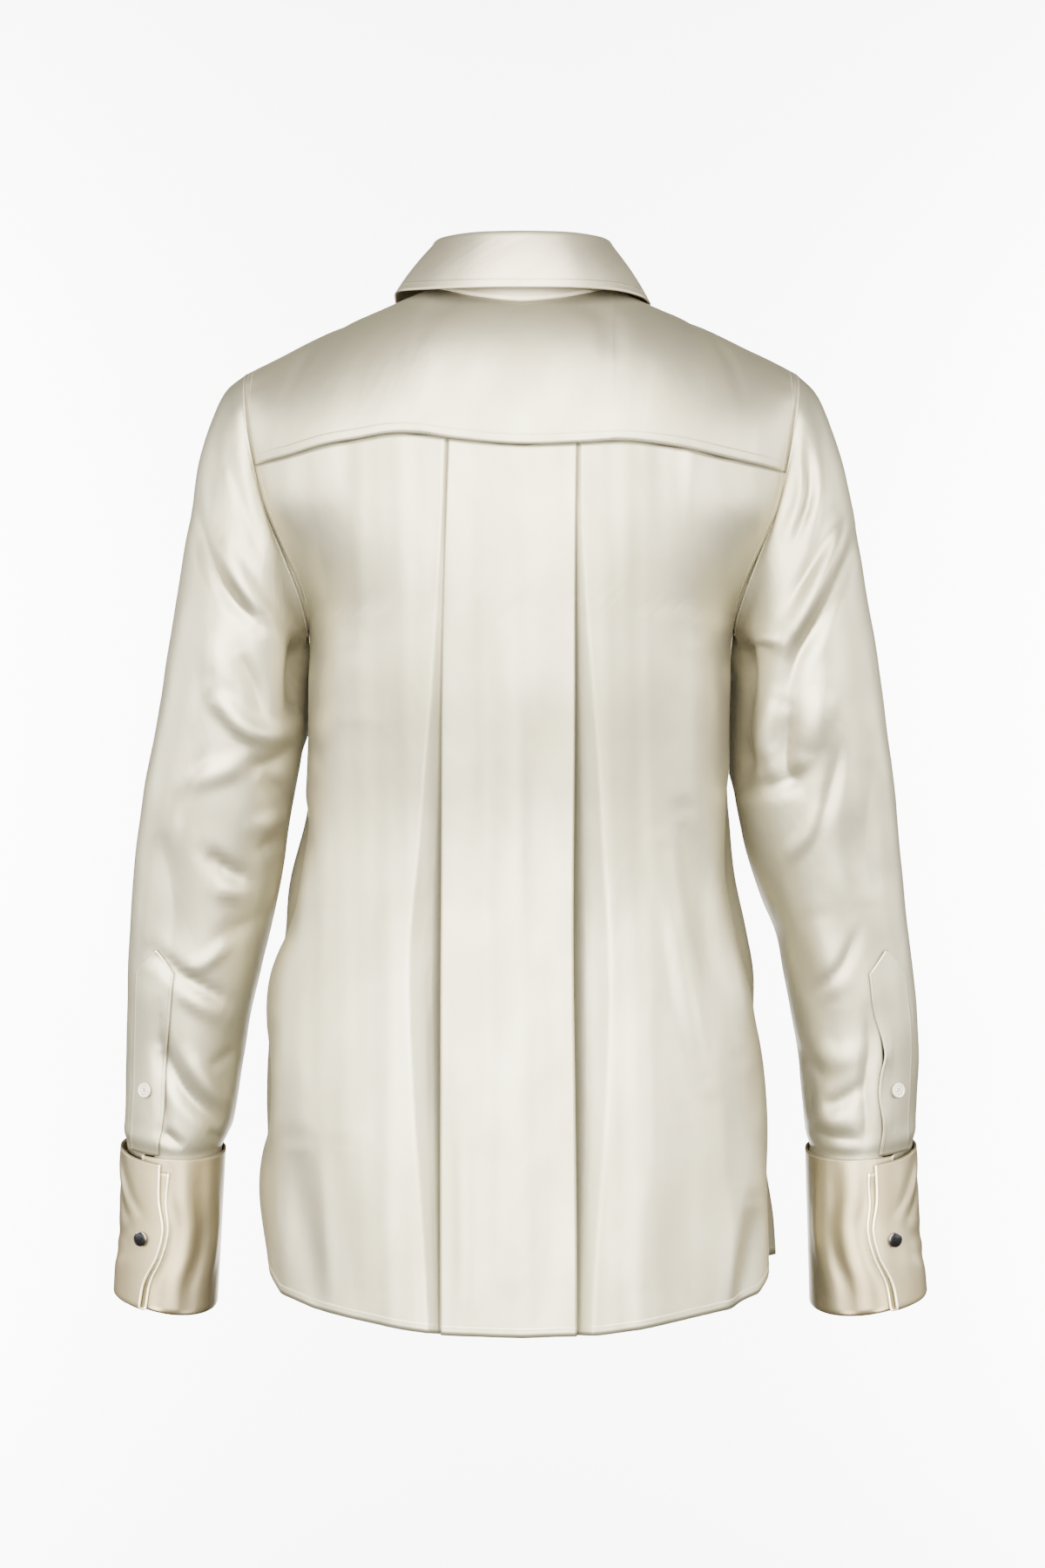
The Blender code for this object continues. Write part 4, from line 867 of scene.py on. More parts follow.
def front_line(side, x_top, share, x_fixed=None):
    """One line of a front from the top seam down to the hem, distances out positive."""
    first = share == 1.0
    x_start = x_top if x_fixed is None else abs(x_fixed)
    if x_start > NECK_CORNER:
        deep = TIP_DEPTH
        if not first:
            width = ring(CHEST_Z, side, False)[0]
            deep = ring_depth(x_start * CREST_TO_CHEST, width, CHEST_Z, False)
        y0 = YOKE_FRONT_DEPTH + YOKE_FRONT_GAP
        crest = ridge_height(x_start, side)
        z0 = CHEST_Z + (crest - CHEST_Z) * math.sqrt(1 - (y0 / deep) ** 2)
    else:
        rows = refine(NECK, NECK_CUTS)[NECK_CUTS * (NECK_CREST_ROW + 1) :][::-1]
        y0 = -float(np.interp(x_start, rows[:, 0], rows[:, 1]))
        z0 = float(np.interp(x_start, rows[:, 0], rows[:, 2]))
    width, edge_angle = ring(CHEST_Z, side, False)
    x_chest = abs(x_fixed) if x_fixed is not None else None
    if x_chest is None:
        x_chest = width * math.sin(edge_angle * share) ** (2 / RING_POWER)
    deep = ring_depth(x_chest, width, CHEST_Z, False)
    crest = CHEST_Z + (z0 - CHEST_Z) / math.sqrt(1 - (y0 / deep) ** 2)
    steps = np.linspace(0, 1, 25)[:-1]
    z = z0 + (CHEST_Z - z0) * steps
    x = x_start + (x_chest - x_start) * steps
    y = -deep * np.sqrt(1 - ((z - CHEST_Z) / (crest - CHEST_Z)) ** 2)
    if first:
        x, y = armhole_edge(side, False, z)
    line = list(np.stack([x, y, z], axis=1))
    for z_edge in np.linspace(CHEST_Z, HEM_SIDE_Z, 100):
        width, edge_angle = ring(z_edge, side, False)
        x = width * math.sin(edge_angle * share) ** (2 / RING_POWER)
        x = x if x_fixed is None else abs(x_fixed)
        q = (CHEST_Z - z_edge) / (CHEST_Z - HEM_SIDE_Z)
        z = z_edge + (straight(HEM, 2, x / width) - HEM_SIDE_Z) * q**1.5
        y = -ring_depth(x, width, z, False)
        if first:
            y = armhole_edge(side, False, z_edge)[1] if z_edge > UNDERARM_Z else 0.0
            y -= SEAM / 2
        line.append(np.array([x, y, z], float))
    return np.array(line)


def settle(line, x, lift):
    """A line of the lap at x, moved out by lift across the cloth."""
    steep = np.clip((-60 - line[:, 2]) / 80, 0, 1)
    y = line[:, 1] - lift * (0.75 + 0.25 * steep)
    return np.stack([np.full(len(y), x), y, line[:, 2] + lift * 0.6 * (1 - steep)], axis=1)


def front_grid(side):
    """Grid of a front from its side seam past the centre line."""
    lines = [
        front_line(side, x, share) * np.array([side, 1, 1])
        for x, share in zip(FRONT_TOP_X, FRONT_SHARES)
    ]
    for x in (BAND_HALF + 5, BAND_HALF + 1.3, 0.0, -BAND_HALF):
        sink = -LIFT if side > 0 and x < BAND_HALF + 2 else 0.0
        lines.append(settle(front_line(side, 0, LAP_SHARE, x), side * x, sink))
    lines = np.array(lines)
    gaps = np.linalg.norm(np.diff(lines, axis=0), axis=2).mean(axis=1)
    knots = running(gaps)
    panel, lap = np.linspace(0, knots[-5], 66), np.linspace(knots[-5], knots[-1], 14)
    at = np.unique(np.concatenate([panel, lap]))
    grid = loft(lines, knots, at).transpose(1, 0, 2)
    if side > 0:
        grid = grid[:, ::-1]
    inset = np.abs(at - knots[0])[None, :]
    inset = inset[:, ::-1] if side > 0 else inset
    drawn_in = curve(SIDE_WAVE[side], 1, grid[..., 2]) * hump(inset / 24)
    stands_out = curve(SIDE_WAVE[side], 2, grid[..., 2]) * hump((inset - 40) / 34)
    grid[..., 0] += side * (stands_out - drawn_in)
    push = crease_push(FRONT_CREASES, grid[..., 0], grid[..., 2])
    push = push + unrest(grid[..., 0] + 40, grid[..., 2] * 0.4, 30.0, 0.4)
    push = push * np.clip(inset / 15, 0, 1) * np.clip((np.abs(grid[..., 0]) - 20) / 25, 0, 1)
    return grid + sheet_normals(grid) * (CLOTH / 2 - push)[..., None]


FRONT_SATIN = satin(
    "ivory_silk_satin_front",
    "A29B83",
    "9A9479",
    [("foot", 0.006, 0.5)],
)
for name, side in (("front_left", 1), ("front_right", -1)):
    points = front_grid(side)
    piece = shell(name + "_silk", points, FRONT_SATIN)
    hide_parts(name)
    sewing = stitches(name + "_hem_stitches", points, [("foot", HEM_STITCH)])

band_lines = []
for x in (-BAND_HALF, 0.0, BAND_HALF):
    line = front_line(-1, 0, LAP_SHARE, x)
    line[0] = line[0] * 0.6 + line[1] * 0.4
    band_lines.append(settle(line, x, LIFT))
band_points = loft(band_lines, (-BAND_HALF, 0, BAND_HALF), np.linspace(-BAND_HALF, BAND_HALF, 15))
band_points = outer_face(band_points.transpose(1, 0, 2))
BAND_SATIN = satin(
    "ivory_silk_satin_band",
    "A29B83",
    "9A9479",
    [("left", 0.0045, 0.6), ("right", 0.0045, 0.6), ("foot", 0.006, 0.3)],
)
band = shell("front_band_silk", band_points, BAND_SATIN, thickness=0.7)
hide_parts("front_band")
band_rows = [("left", 4.2), ("right", 4.2)]
band_sewing = stitches("front_band_stitches", band_points, band_rows)

# ---- Collar --------------------------------------------------------------------------
# A stand round the neck and a fall turned over it, both two layers of satin with a firm
# interlining, bagged out, pressed and topstitched near the edge.

COLLAR_CLOTH = 1.5
COLLAR_SILK = 1.1
STAND_CLEAR = 1.4
# The stand's seam allowance: how far down and in it turns behind the yoke.
STAND_TUCK = (2.4, 1.8)
NECK_MEAN = 70.0
STAND_LAP = (6.0, 10.0, 14.0)
CENTRE_GAP = 2.5
FALL_EDGE = [
    # outer edge x, y, z, then its rise to the left and right, in step with NECK
    (0, 65.6, 7.8, 0, 0),
    (22, 64.6, 7.9, 0, 0),
    (43, 59.6, 8, 0, 0),
    (64, 47.8, 7.6, 1, 0),
    (79, 27, 7, 3, -0.8),
    (85, 8, 6.2, 4.5, -1.6),
    (86.5, -12, 5, 4, -1.2),
    (84.5, -34, -3.5, 2, 0),
    (79, -54, -17, 0, 0),
    (71, -71, -33, 0, 0),
    (62, -83, -49, 0, 0),
    (54, -89.5, -62, 0, 0),
    (46, -94, -75, 0, 0),
]
ROLL = [(0, 1.0), (0.2, 2.4), (0.8, 3.5), (1.7, 4.0), (2.8, 4.0), (3.8, 3.4), (5.0, 1.2)]


def evenly(rows, count):
    """The rows' smooth curve cut at equal steps along its first three columns."""
    dense = refine(rows, 12)
    arc = run_along(dense[:, :3])
    at = np.linspace(0, arc[-1], count)
    return np.stack([np.interp(at, arc, dense[:, k]) for k in range(dense.shape[1])], axis=1)


def stand_grid():
    """Rows up the stand, columns from the right end round the back to the left end."""
    rows = [(-r[0], *r[1:3], -r[3], *r[4:]) for r in NECK[:0:-1]] + NECK
    rows = evenly(rows, 150)
    low, high = rows[:, :3], rows[:, 3:]
    under = np.array([0, COLLAR_CLOTH + 0.4, 0])
    reach = arc_lengths(low[None], 1)[0]
    near = np.clip(1 - (reach[-1] - reach) / 16, 0, 1)[:, None]
    low, high = low + under * near, high + under * near
    shifts = np.array([[x, x * 0.05, x * 0.23] for x in STAND_LAP])
    ends = [
        np.concatenate([(edge[0] + shifts)[::-1], edge, edge[-1] + shifts * (-1, 1, 1)])
        for edge in (low, high)
    ]
    rise = ends[1] - ends[0]
    up = unit(rise)
    tuck = ends[0] - up * STAND_TUCK[0] - ends[0] * (1, 1, 0) * STAND_TUCK[1] / NECK_MEAN
    return np.array([tuck] + [ends[0] + up * STAND_CLEAR + rise * s for s in np.linspace(0, 1, 18)])


def fall_grid():
    """Rows from the stand's top edge over the roll down to the outer edge."""
    joined = [(*neck[3:], *edge) for neck, edge in zip(NECK, FALL_EDGE)]
    right = [(-r[0], r[1], r[2], -r[3], r[4], r[5] + r[7]) for r in joined[:0:-1]]
    left = [(r[0], r[1], r[2], r[3], r[4], r[5] + r[6]) for r in joined]
    rows = evenly(right + left, 170)
    tops = rows[:, :3]
    tops[0, 0] = -CENTRE_GAP
    tops[-1, 0] = CENTRE_GAP
    along = np.gradient(tops[:, :2], axis=0)
    out = np.stack([-along[:, 1], along[:, 0], np.zeros(len(along))], axis=1)
    out = unit(out)
    out = out * np.sign((out[:, :2] * tops[:, :2]).sum(axis=1))[:, None]
    grid = [tops + out * away + (0, 0, STAND_CLEAR + up) for away, up in ROLL]
    start = grid[-1]
    for step in np.linspace(0, 1, 26)[1:]:
        bow = 1.6 * math.sin(math.pi * step)
        grid.append(start + (rows[:, 3:] - start) * step + out * bow)
    return np.array(grid)[:, ::-1]


COLLAR_SATIN = satin(
    "ivory_silk_satin_collar",
    "A49B85",
    "9C947C",
    [("foot", 0.006, 0.4), ("left", 0.006, 0.3), ("right", 0.006, 0.3)],
    lustre=0.46,
)
stand_points = outer_face(stand_grid(), COLLAR_CLOTH)
stand = shell("collar_stand_silk", stand_points, COLLAR_SATIN, thickness=COLLAR_SILK)
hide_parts("collar_stand")
stand_sewing = stitches("collar_stand_stitches", stand_points, [("top", 6.0)])

fall_points = outer_face(fall_grid(), COLLAR_CLOTH)
fall = shell("collar_fall_silk", fall_points, COLLAR_SATIN, thickness=COLLAR_SILK)
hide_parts("collar_fall")
FALL_STITCH = 5.2
fall_rows = [("foot", FALL_STITCH), ("left", FALL_STITCH, 0.25), ("right", FALL_STITCH, 0.25)]
fall_sewing = stitches("collar_fall_stitches", fall_points, fall_rows)

# ---- Sleeves -------------------------------------------------------------------------
# Two bishop-cut sleeves of the satin, each one piece with a seam under the arm, set into
# the armhole and held by topstitching. Bent arms have left folds at elbow and forearm.

ARM_CENTRE_Y = -4.5
ARM_HALF_DEPTH = 46.5
SLEEVE_COLUMNS = 180
SLEEVE_ROWS = 150
SLIT = (0.154, 0.192)
SLIT_RING = 14.0
SLEEVES = {
    # outer outline x, z, inner outline x, z, centre y, half depth, share of a round ring
    "left": [
        (201, -56, 147.0, -223, -4.5, 50, 0.25),
        (211.5, -79, 147.6, -229, -4.5, 53, 0.5),
        (219, -104, 148, -237, -5, 55, 0.75),
        (223.5, -133, 148.2, -247, -5, 56, 1),
        (228.5, -160, 148.4, -258, -5.5, 56, 1),
        (233, -188, 148.6, -270, -6, 55.5, 1),
        (238.5, -222, 149, -285, -7, 54.5, 1),
        (244.5, -258, 151, -305, -9, 53, 1),
        (250.5, -290, 155, -327, -11, 51, 1),
        (257, -322, 159, -349, -13, 49, 1),
        (261.5, -354, 162.5, -372, -16, 47, 1),
        (265, -387, 167, -398, -19, 45, 1),
        (267.5, -420, 173, -424, -22, 43, 1),
        (269, -452, 179.5, -451, -24, 41.5, 1),
        (269.5, -480, 186, -479, -26, 40, 1),
        (270, -506, 191, -506, -28, 38.5, 1),
        (270.5, -532, 195, -533, -29, 37.5, 1),
        (271.3, -553, 198.5, -554, -30, 36.5, 1),
        (271.8, -564, 202.6, -565, -30, 35.3, 1),
        (270.2, -571.5, 206, -572.5, -30, 33.0, 1),
        (269.6, -578, 206.4, -579, -30, 32, 1),
    ],
    "right": [
        (198.5, -57, 145.2, -223, -4.5, 50, 0.25),
        (208.5, -79, 145.6, -229, -4.5, 53, 0.5),
        (217, -106, 146, -237, -5, 55, 0.75),
        (222.5, -133, 146.2, -247, -5, 56, 1),
        (228, -162, 146.2, -258, -5.5, 56, 1),
        (232, -188, 145.8, -270, -6, 55.5, 1),
        (238.5, -222, 145, -285, -7, 54.5, 1),
        (243.5, -258, 144.6, -305, -9, 53, 1),
        (248, -290, 144.8, -327, -11, 51, 1),
        (252.5, -322, 148.5, -350, -13, 49, 1),
        (256, -354, 154, -372, -16, 47, 1),
        (259, -387, 163, -398, -19, 45, 1),
        (262.5, -420, 173.5, -424, -22, 43, 1),
        (266.5, -452, 179, -452, -24, 41.5, 1),
        (269.5, -480, 184, -480, -26, 40, 1),
        (270.5, -506, 188.5, -506, -28, 39.5, 1),
        (269.5, -532, 191, -533, -29, 39, 1),
        (268.5, -553, 193, -554, -30, 38.5, 1),
        (268.3, -564, 194.8, -565, -30, 37.2, 1),
        (266.6, -571.5, 197.2, -572.5, -30, 35.2, 1),
        (265.8, -578, 196.6, -579, -30, 34.4, 1),
    ],
}
SLEEVE_CREASES = {
    # behind: half width, depth in (minus stands out), then points across and up
    "left": [
        (11, 4, (220, -132), (212, -163), (197, -194), (176, -215)),
        (11, -2, (204.4, -157.5), (186.9, -186.7), (172.3, -210)),
        (8, -1.6, (189.8, -102), (184, -125.4), (178, -151.6)),
        (8, 1.6, (198.6, -81.6), (195.6, -105), (186.9, -128.3), (175.2, -169)),
        (16, -2, (206, -210), (204.4, -239), (201.5, -262.6)),
        (12, 2.2, (189.8, -233.4), (178, -259.7), (172.3, -280)),
        (11, -2.6, (207.3, -259.7), (181, -286), (149, -286)),
        (12, 2.8, (186, -309), (166, -306), (147, -292)),
        (12, -1.4, (227.8, -321), (205, -314), (178, -303.5)),
        (14, 2.6, (175.2, -315), (154.8, -332.7)),
        (9, -2, (181, -350), (155, -341)),
        (9, 2.2, (178.7, -365), (158, -356)),
        (11, 2.6, (213.9, -366.8), (199, -378), (184.6, -385.7)),
        (10, -1.4, (208, -391), (182, -397)),
        (12, 1.8, (202, -424), (173, -409)),
        (10, 2.4, (249.5, -434), (229, -450.4), (199.6, -468)),
        (11, -1.5, (231.9, -459), (202.5, -479.8)),
        (12, 3, (242.5, -497.6), (229, -527), (202.5, -553.5)),
        (9, -1.7, (226, -503.5), (211.5, -527), (196.7, -538.9)),
        (8, 1.8, (243.7, -556.4), (229, -568)),
        (7, 1.5, (211.5, -512), (192.6, -500.5)),
        (6, 1.4, (214, -556), (200, -566)),
        (24, 2.2, (246, -350), (236, -400), (240, -450)),
        (8, 1.2, (245, -470), (244, -505), (242, -540), (241, -574)),
        (8, 1.4, (214, -300), (226, -330), (232, -352)),
        (8, -1.4, (196, -426), (212, -440), (228, -446)),
    ],
    "right": [
        (7, -2, (184, -84.5), (186, -125.4), (176.7, -154.6)),
        (7, 2, (189.8, -93.2), (191.3, -128.3), (181, -160.4)),
        (8, -1.7, (195.6, -87.4), (200, -125.4), (189.8, -157.5)),
        (14, -3.8, (220.5, -130), (209, -166), (189.8, -208), (174, -226)),
        (10, 2.2, (213, -140), (198.6, -166), (175, -204)),
        (12, 4.2, (226, -150), (203, -199), (184, -235), (175.2, -266)),
        (8, -2.5, (141.3, -230.5), (154.8, -221.7), (172.3, -224.7)),
        (18, -2.8, (198.6, -257), (192.7, -300.6)),
        (10, -2, (166.4, -262.6), (160.6, -291.8), (166.4, -306.4)),
        (12, 2.6, (178, -271.4), (175.2, -309.3), (186.9, -324)),
        (11, 2, (146, -324), (175.2, -321), (195.6, -309.3)),
        (9, 1.5, (183.5, -494), (194, -508), (206, -521)),
        (13, -1.1, (196, -497), (213, -507), (228, -500)),
        (10, 1.5, (203, -539), (215, -535), (230, -523)),
        (10, -0.9, (195, -534), (206, -548), (227, -547)),
        (9, 1.2, (190, -552), (206, -560), (231, -562)),
        (6, 1.7, (194, -521), (197, -547)),
        (13, 1.8, (164.6, -380), (176.4, -432.7)),
        (18, -1.8, (197, -409), (211.7, -468)),
        (24, 2.2, (238, -300), (232, -360), (236, -400)),
        (8, 1.5, (233, -474), (234, -500), (231, -526), (232, -552), (230, -574)),
        (9, 1.6, (213, -296), (205, -330), (196, -352)),
        (9, -1.5, (201, -332), (190, -356), (176, -372)),
        (8, 1.4, (226, -420), (214, -446), (196, -462)),
    ],
    "before": [
        (12, 4, (206, -96), (190, -140), (172, -176)),
        (14, 5, (216, -150), (196, -190), (166, -222)),
        (12, -3, (214, -196), (196, -240), (170, -262)),
        (12, 4, (222, -270), (190, -292), (156, -300)),
        (11, -3, (226, -300), (190, -318), (158, -322)),
        (12, 4, (232, -340), (196, -356), (168, -360)),
        (13, 4, (236, -396), (210, -424), (184, -436)),
        (13, 4, (240, -470), (214, -500), (196, -516)),
        (12, -2.5, (232, -520), (214, -540), (204, -556)),
    ],
}
UNDERARM = {
    # height, how far the cloth behind stands off the body and the cloth before comes in
    "left": [
        (-326, 0, 0), (-308, 0, 5), (-298, 0, 10), (-288, 0, 14), (-277, 1, 17), (-267, 8, 18),
        (-254, 14, 18), (-242, 16, 18), (-232, 13, 17), (-225, 5, 16), (-217, 0, 13), (-204, 0, 0),
    ],
    "right": [
        (-350, 0, 0), (-335, 0, 6), (-322, 5, 13), (-303, 12, 19), (-286, 9, 20), (-262, 11, 19),
        (-248, 18, 18), (-238, 18, 17), (-231, 13, 16), (-225, 6, 14), (-217, 0, 11), (-204, 0, 0),
    ],
}
STAND_OFF_TURN = 0.45
STAND_OFF_REACH = 0.08
COME_IN_TURN = [(-250, 0.65), (-236, 0.62)]
COME_IN_REACH = 0.145
CREASE_DEPTH = 1.55
CREASE_CRISP = {"behind": 0.6, "before": 0.3}
FOREARM_LEAN = [(-573, 1.0), (-564, 0.9), (-553, 0.7), (-532, 0.35), (-506, 0.0)]
CUFF_LEAN = (7.0, 9.5)
CUFF_SIDE_RISE = (2.0, 5.5)


def cuff_rise(a, down):
    """How much higher a cuff ring lies at this angle than at its back."""
    lean = CUFF_LEAN[0] + (CUFF_LEAN[1] - CUFF_LEAN[0]) * down
    side_rise = CUFF_SIDE_RISE[0] + (CUFF_SIDE_RISE[1] - CUFF_SIDE_RISE[0]) * down
    return lean * (1 - np.sin(a)) + side_rise * np.cos(a)


def armhole_loop(side, count):
    """The armhole from the shoulder tip down the back and up the front, evenly cut."""
    column = 1 if side > 0 else 2
    halves = []
    for depth in (3, 4):
        dense = refine([(row[column], row[depth], row[0]) for row in ARMHOLE], 8)
        arc = run_along(dense)
        at = np.linspace(0, arc[-1], count // 2 + 1)
        halves.append(np.stack([np.interp(at, arc, dense[:, i]) for i in range(3)], axis=1))
    return np.concatenate([halves[0], halves[1][-2:0:-1]])


def sleeve_rings(name, side):
    """Rings of a sleeve, armhole first; points run from outside round the back."""
    loop = armhole_loop(side, SLEEVE_COLUMNS)
    tip, under = loop[0], loop[SLEEVE_COLUMNS // 2]
    half = np.linalg.norm(tip - under) / 2
    axis = (tip - under) / (2 * half)
    outward = np.array([axis[2], 0, -axis[0]])
    middle = (tip + under) / 2
    own = np.stack(
        [(loop - middle) @ axis / half, (loop[:, 1] - ARM_CENTRE_Y) / ARM_HALF_DEPTH], axis=1
    )
    turn = np.arange(SLEEVE_COLUMNS) / SLEEVE_COLUMNS
    circle = np.stack([np.cos(2 * np.pi * turn), np.sin(2 * np.pi * turn)], axis=1)
    rings = [loop + outward * (0.5 + 0.5 * np.sin(np.pi * turn) ** 0.6)[:, None]]
    for out_x, out_z, in_x, in_z, y, deep, share in SLEEVES[name]:
        centre = np.array([(out_x + in_x) / 2, y, (out_z + in_z) / 2])
        across = np.array([(out_x - in_x) / 2, 0, (out_z - in_z) / 2])
        shape = own * (1 - share) + circle * share
        loop = centre + shape[:, :1] * across + shape[:, 1:] * np.array([0, deep, 0])
        taken = straight(FOREARM_LEAN, 1, centre[2])
        loop[:, 2] += taken * (CUFF_LEAN[0] * (1 - shape[:, 1]) + CUFF_SIDE_RISE[0] * shape[:, 0])
        rings.append(loop)
    at = np.linspace(0, len(rings) - 1, SLEEVE_ROWS)
    rings = loft(rings, np.arange(len(rings)), at)
    stand_off, come_in = (
        np.maximum(0, curve(UNDERARM[name], k, rings[..., 2])) * np.clip(at / 2, 0, 1)[:, None]
        for k in (1, 2)
    )
    rings[..., 0] += stand_off * hump((turn - STAND_OFF_TURN) / STAND_OFF_REACH)
    nearest = straight(COME_IN_TURN, 1, rings[..., 2])
    rings[..., 0] -= come_in * hump((turn - nearest) / COME_IN_REACH)
    facing = np.sin(2 * np.pi * turn)
    spot = (rings[..., 0], rings[..., 2])
    behind = CREASE_DEPTH * crease_push(SLEEVE_CREASES[name], *spot, CREASE_CRISP["behind"])
    before = crease_push(SLEEVE_CREASES["before"], *spot, CREASE_CRISP["before"])
    push = behind * np.clip(facing, 0, 1) ** 0.5 + before * np.clip(-facing, 0, 1) ** 0.5
    push = push + unrest(turn * 280 + side * 40, rings[..., 2] * 0.7, 24.0, 0.4)
    push = push * (np.clip((at - 0.6) / 1.6, 0, 1) * np.clip((20.3 - at) / 2, 0, 1))[:, None]
    inward = unit(rings.mean(axis=1, keepdims=True) - rings)
    rings = rings + inward * push[..., None]
    # The seam allowance turns in under the edge of the body.
    under = [rings[0] + inward[0] * 1.7 - outward * out for out in (6.0, 2.0, 0.2)]
    return np.concatenate([under, rings]), np.concatenate([[0, 0, 0], at])


def on_sleeve(rings, share, z, lift):
    """Points at a share of the way round and these heights, moved out level."""
    column = share * SLEEVE_COLUMNS
    c, f = int(column), column % 1
    line = rings[:, c] * (1 - f) + rings[:, (c + 1) % SLEEVE_COLUMNS] * f
    centre = rings.mean(axis=1)
    spots = []
    for path in (line, centre):
        order = np.argsort(path[:, 2])
        spots.append(
            np.stack([np.interp(z, path[order, 2], path[order, i]) for i in range(3)], axis=-1)
        )
    away = spots[0] - spots[1]
    away[..., 2] = 0
    away = unit(away)
    return spots[0] + away * lift, away


SLEEVE_SATIN = satin("ivory_silk_satin_sleeve", "A09A82", "999279", [("top", 0.009, 0.8)])

sleeve_forms = {}
for name, side in (("left", 1), ("right", -1)):
    rings, at = sleeve_rings(name, side)
    sleeve_forms[name] = rings
    points = np.concatenate([rings, rings[:, :1]], axis=1) * np.array([side, 1, 1])
    points = points[:, ::side]
    around = np.linspace(0, 1, SLEEVE_COLUMNS + 1)[::side]
    middle = (around[:-1] + around[1:]) / 2
    open_column = (middle > SLIT[0]) & (middle < SLIT[1])
    keep = ~((at[:-1, None] >= SLIT_RING) & open_column[None, :])
    points = outer_face(points)
    points[:, 0] = points[:, -1] = (points[:, 0] + points[:, -1]) / 2
    piece = shell(f"sleeve_{name}_silk", points, SLEEVE_SATIN, keep=keep, welded=True)
    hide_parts(f"sleeve_{name}")
    sewing = stitches(f"sleeve_{name}_stitches", points, [("top", 8.5, 0.0, 1.0, 0.1)])

# ---- Sleeve plackets -----------------------------------------------------------------
# A folded strip with a pointed top over the slit of each sleeve, edge-stitched all round
# and across below the point; its free edge waves where the slit gapes a little.

PLACKET_ROUND = (0.105, 0.212)
PLACKET_TOP = -449.0
PLACKET_PEAK = 17.0
PLACKET_FOOT = -573.4
PLACKET_LIFT = LIFT + 0.9
PLACKET_CROSS_Z = -473.0
PLACKET_WAVE = {
    # height, how far the free edge moves round the sleeve in mm: on the left and right
    "left": [(-574, 0), (-540, 0.6), (-510, -0.8), (-480, 0.4), (-450, 0)],
    "right": [
        (-574, 0), (-568, -0.9), (-554, -3.2), (-529, -0.2), (-516, -1.8), (-504, -4.6),
        (-495, -3.8), (-478, 0), (-449, 0),
    ],
}

PLACKET_SATIN = satin(
    "ivory_silk_satin_placket",
    "A09A82",
    "999279",
    [("left", 0.0025, 0.4), ("right", 0.0025, 0.4)],
)
for name, side in (("left", 1), ("right", -1)):
    rings = sleeve_forms[name]
    columns = []
    for across in np.linspace(0, 1, 28):
        top = PLACKET_TOP + PLACKET_PEAK * (1 - abs(2 * across - 1))
        z = top + (PLACKET_FOOT - top) * np.linspace(0, 1, 70)
        share = PLACKET_ROUND[0] + (PLACKET_ROUND[1] - PLACKET_ROUND[0]) * across
        z = z + straight(FOREARM_LEAN, 1, z) * cuff_rise(2 * math.pi * share, 0.0)
        column, away = on_sleeve(rings, share, z, PLACKET_LIFT)
        wave = curve(PLACKET_WAVE[name], 1, z) * max(0.0, across - 0.6) / 0.4
        column = column - np.stack([wave, 0 * wave, 0 * wave], axis=1)
        column = column + away * (np.abs(wave) * 0.04)[:, None]
        columns.append(column)
    points = np.array(columns).transpose(1, 0, 2) * np.array([side, 1, 1])
    points = outer_face(points[:, ::side])
    piece = shell(f"placket_{name}_silk", points, PLACKET_SATIN, thickness=0.8)
    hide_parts(f"sleeve_placket_{name}")
    normal = sheet_normals(points)
    row = int(np.argmin(np.abs(points[:, points.shape[1] // 2, 2] - PLACKET_CROSS_Z)))
    cross = (points[row, 2:-2] + normal[row, 2:-2] * 0.05, normal[row, 2:-2])
    sewing = stitches(
        f"placket_{name}_stitches",
        points,
        [("left", 1.6), ("right", 1.6, 0.0, 0.22), ("top", 1.6, 0.06, 0.94)],
        [cross],
        pitch=2.3,
        length=1.7,
        thread=0.15,
    )

# ---- Cuffs ---------------------------------------------------------------------------
# Double cuffs: one long interlined cuff folded back up on itself, the two open ends of
# its outer layer lapped and closed by a stud. Their satin is a little deeper in colour.

CUFF_CLOTH = 1.4
CUFF_TOP_Z = -574.6
CUFF_FOLD_Z = -679.0
CUFF_INNER_TOP_Z = -580.0
CUFF_Y = -30.0
CUFF_PLY_GAP = 3.2
CUFF_LAP_RISE = 5.4
CUFF_LAP = 15.0
CUFF_LAP_RUN = 42.0
CUFF_END_SHARE = 0.225
CUFFS = {
    # top and bottom centre x, top and bottom half width, seam centre x and half width
    "left": (238.2, 242.4, 34.7, 33.2, 238, 31.8),
    "right": (231.0, 235.4, 36.9, 38.4, 231.2, 34.8),
}
CUFF_END = [
    # share down the cuff, how far the lapped end moves round
    (0.0, 0.0),
    (0.25, 0.5),
    (0.45, 3.4),
    (0.62, 0.5),
    (0.82, -7.0),
    (1.0, -9.5),
]
CUFF_DROOP = 4.0
CUFF_DROOP_RUN = 30.0
CUFF_PLY_STEP = [(0.0, 6.0), (0.3, 3.6), (0.6, 2.8), (1.0, 3.0)]
CUFF_CREASES = [
    # half width, depth, then points by distance back from the end and height
    (11, 1.3, (62, -577), (40, -600), (22, -622)),
    (8, -0.7, (48, -577), (32, -598), (18, -618)),
    (9, 0.9, (32, -577), (24, -596), (14, -616)),
    (10, 0.9, (58, -640), (38, -636), (20, -632)),
    (11, 1.0, (60, -676), (40, -654), (20, -640)),
    (26, 2.4, (96, -585), (98, -630), (100, -676)),
]
PANEL_CREASES = [
    # half width, depth, then points by distance from the lap's edge and height
    (7, 1.3, (5, -570), (6, -620), (9, -692)),
    (8, -1.1, (15, -570), (17, -630), (20, -692)),
    (8, 1.0, (27, -570), (28, -630), (31, -692)),
    (10, -0.8, (40, -570), (42, -640), (44, -692)),
]


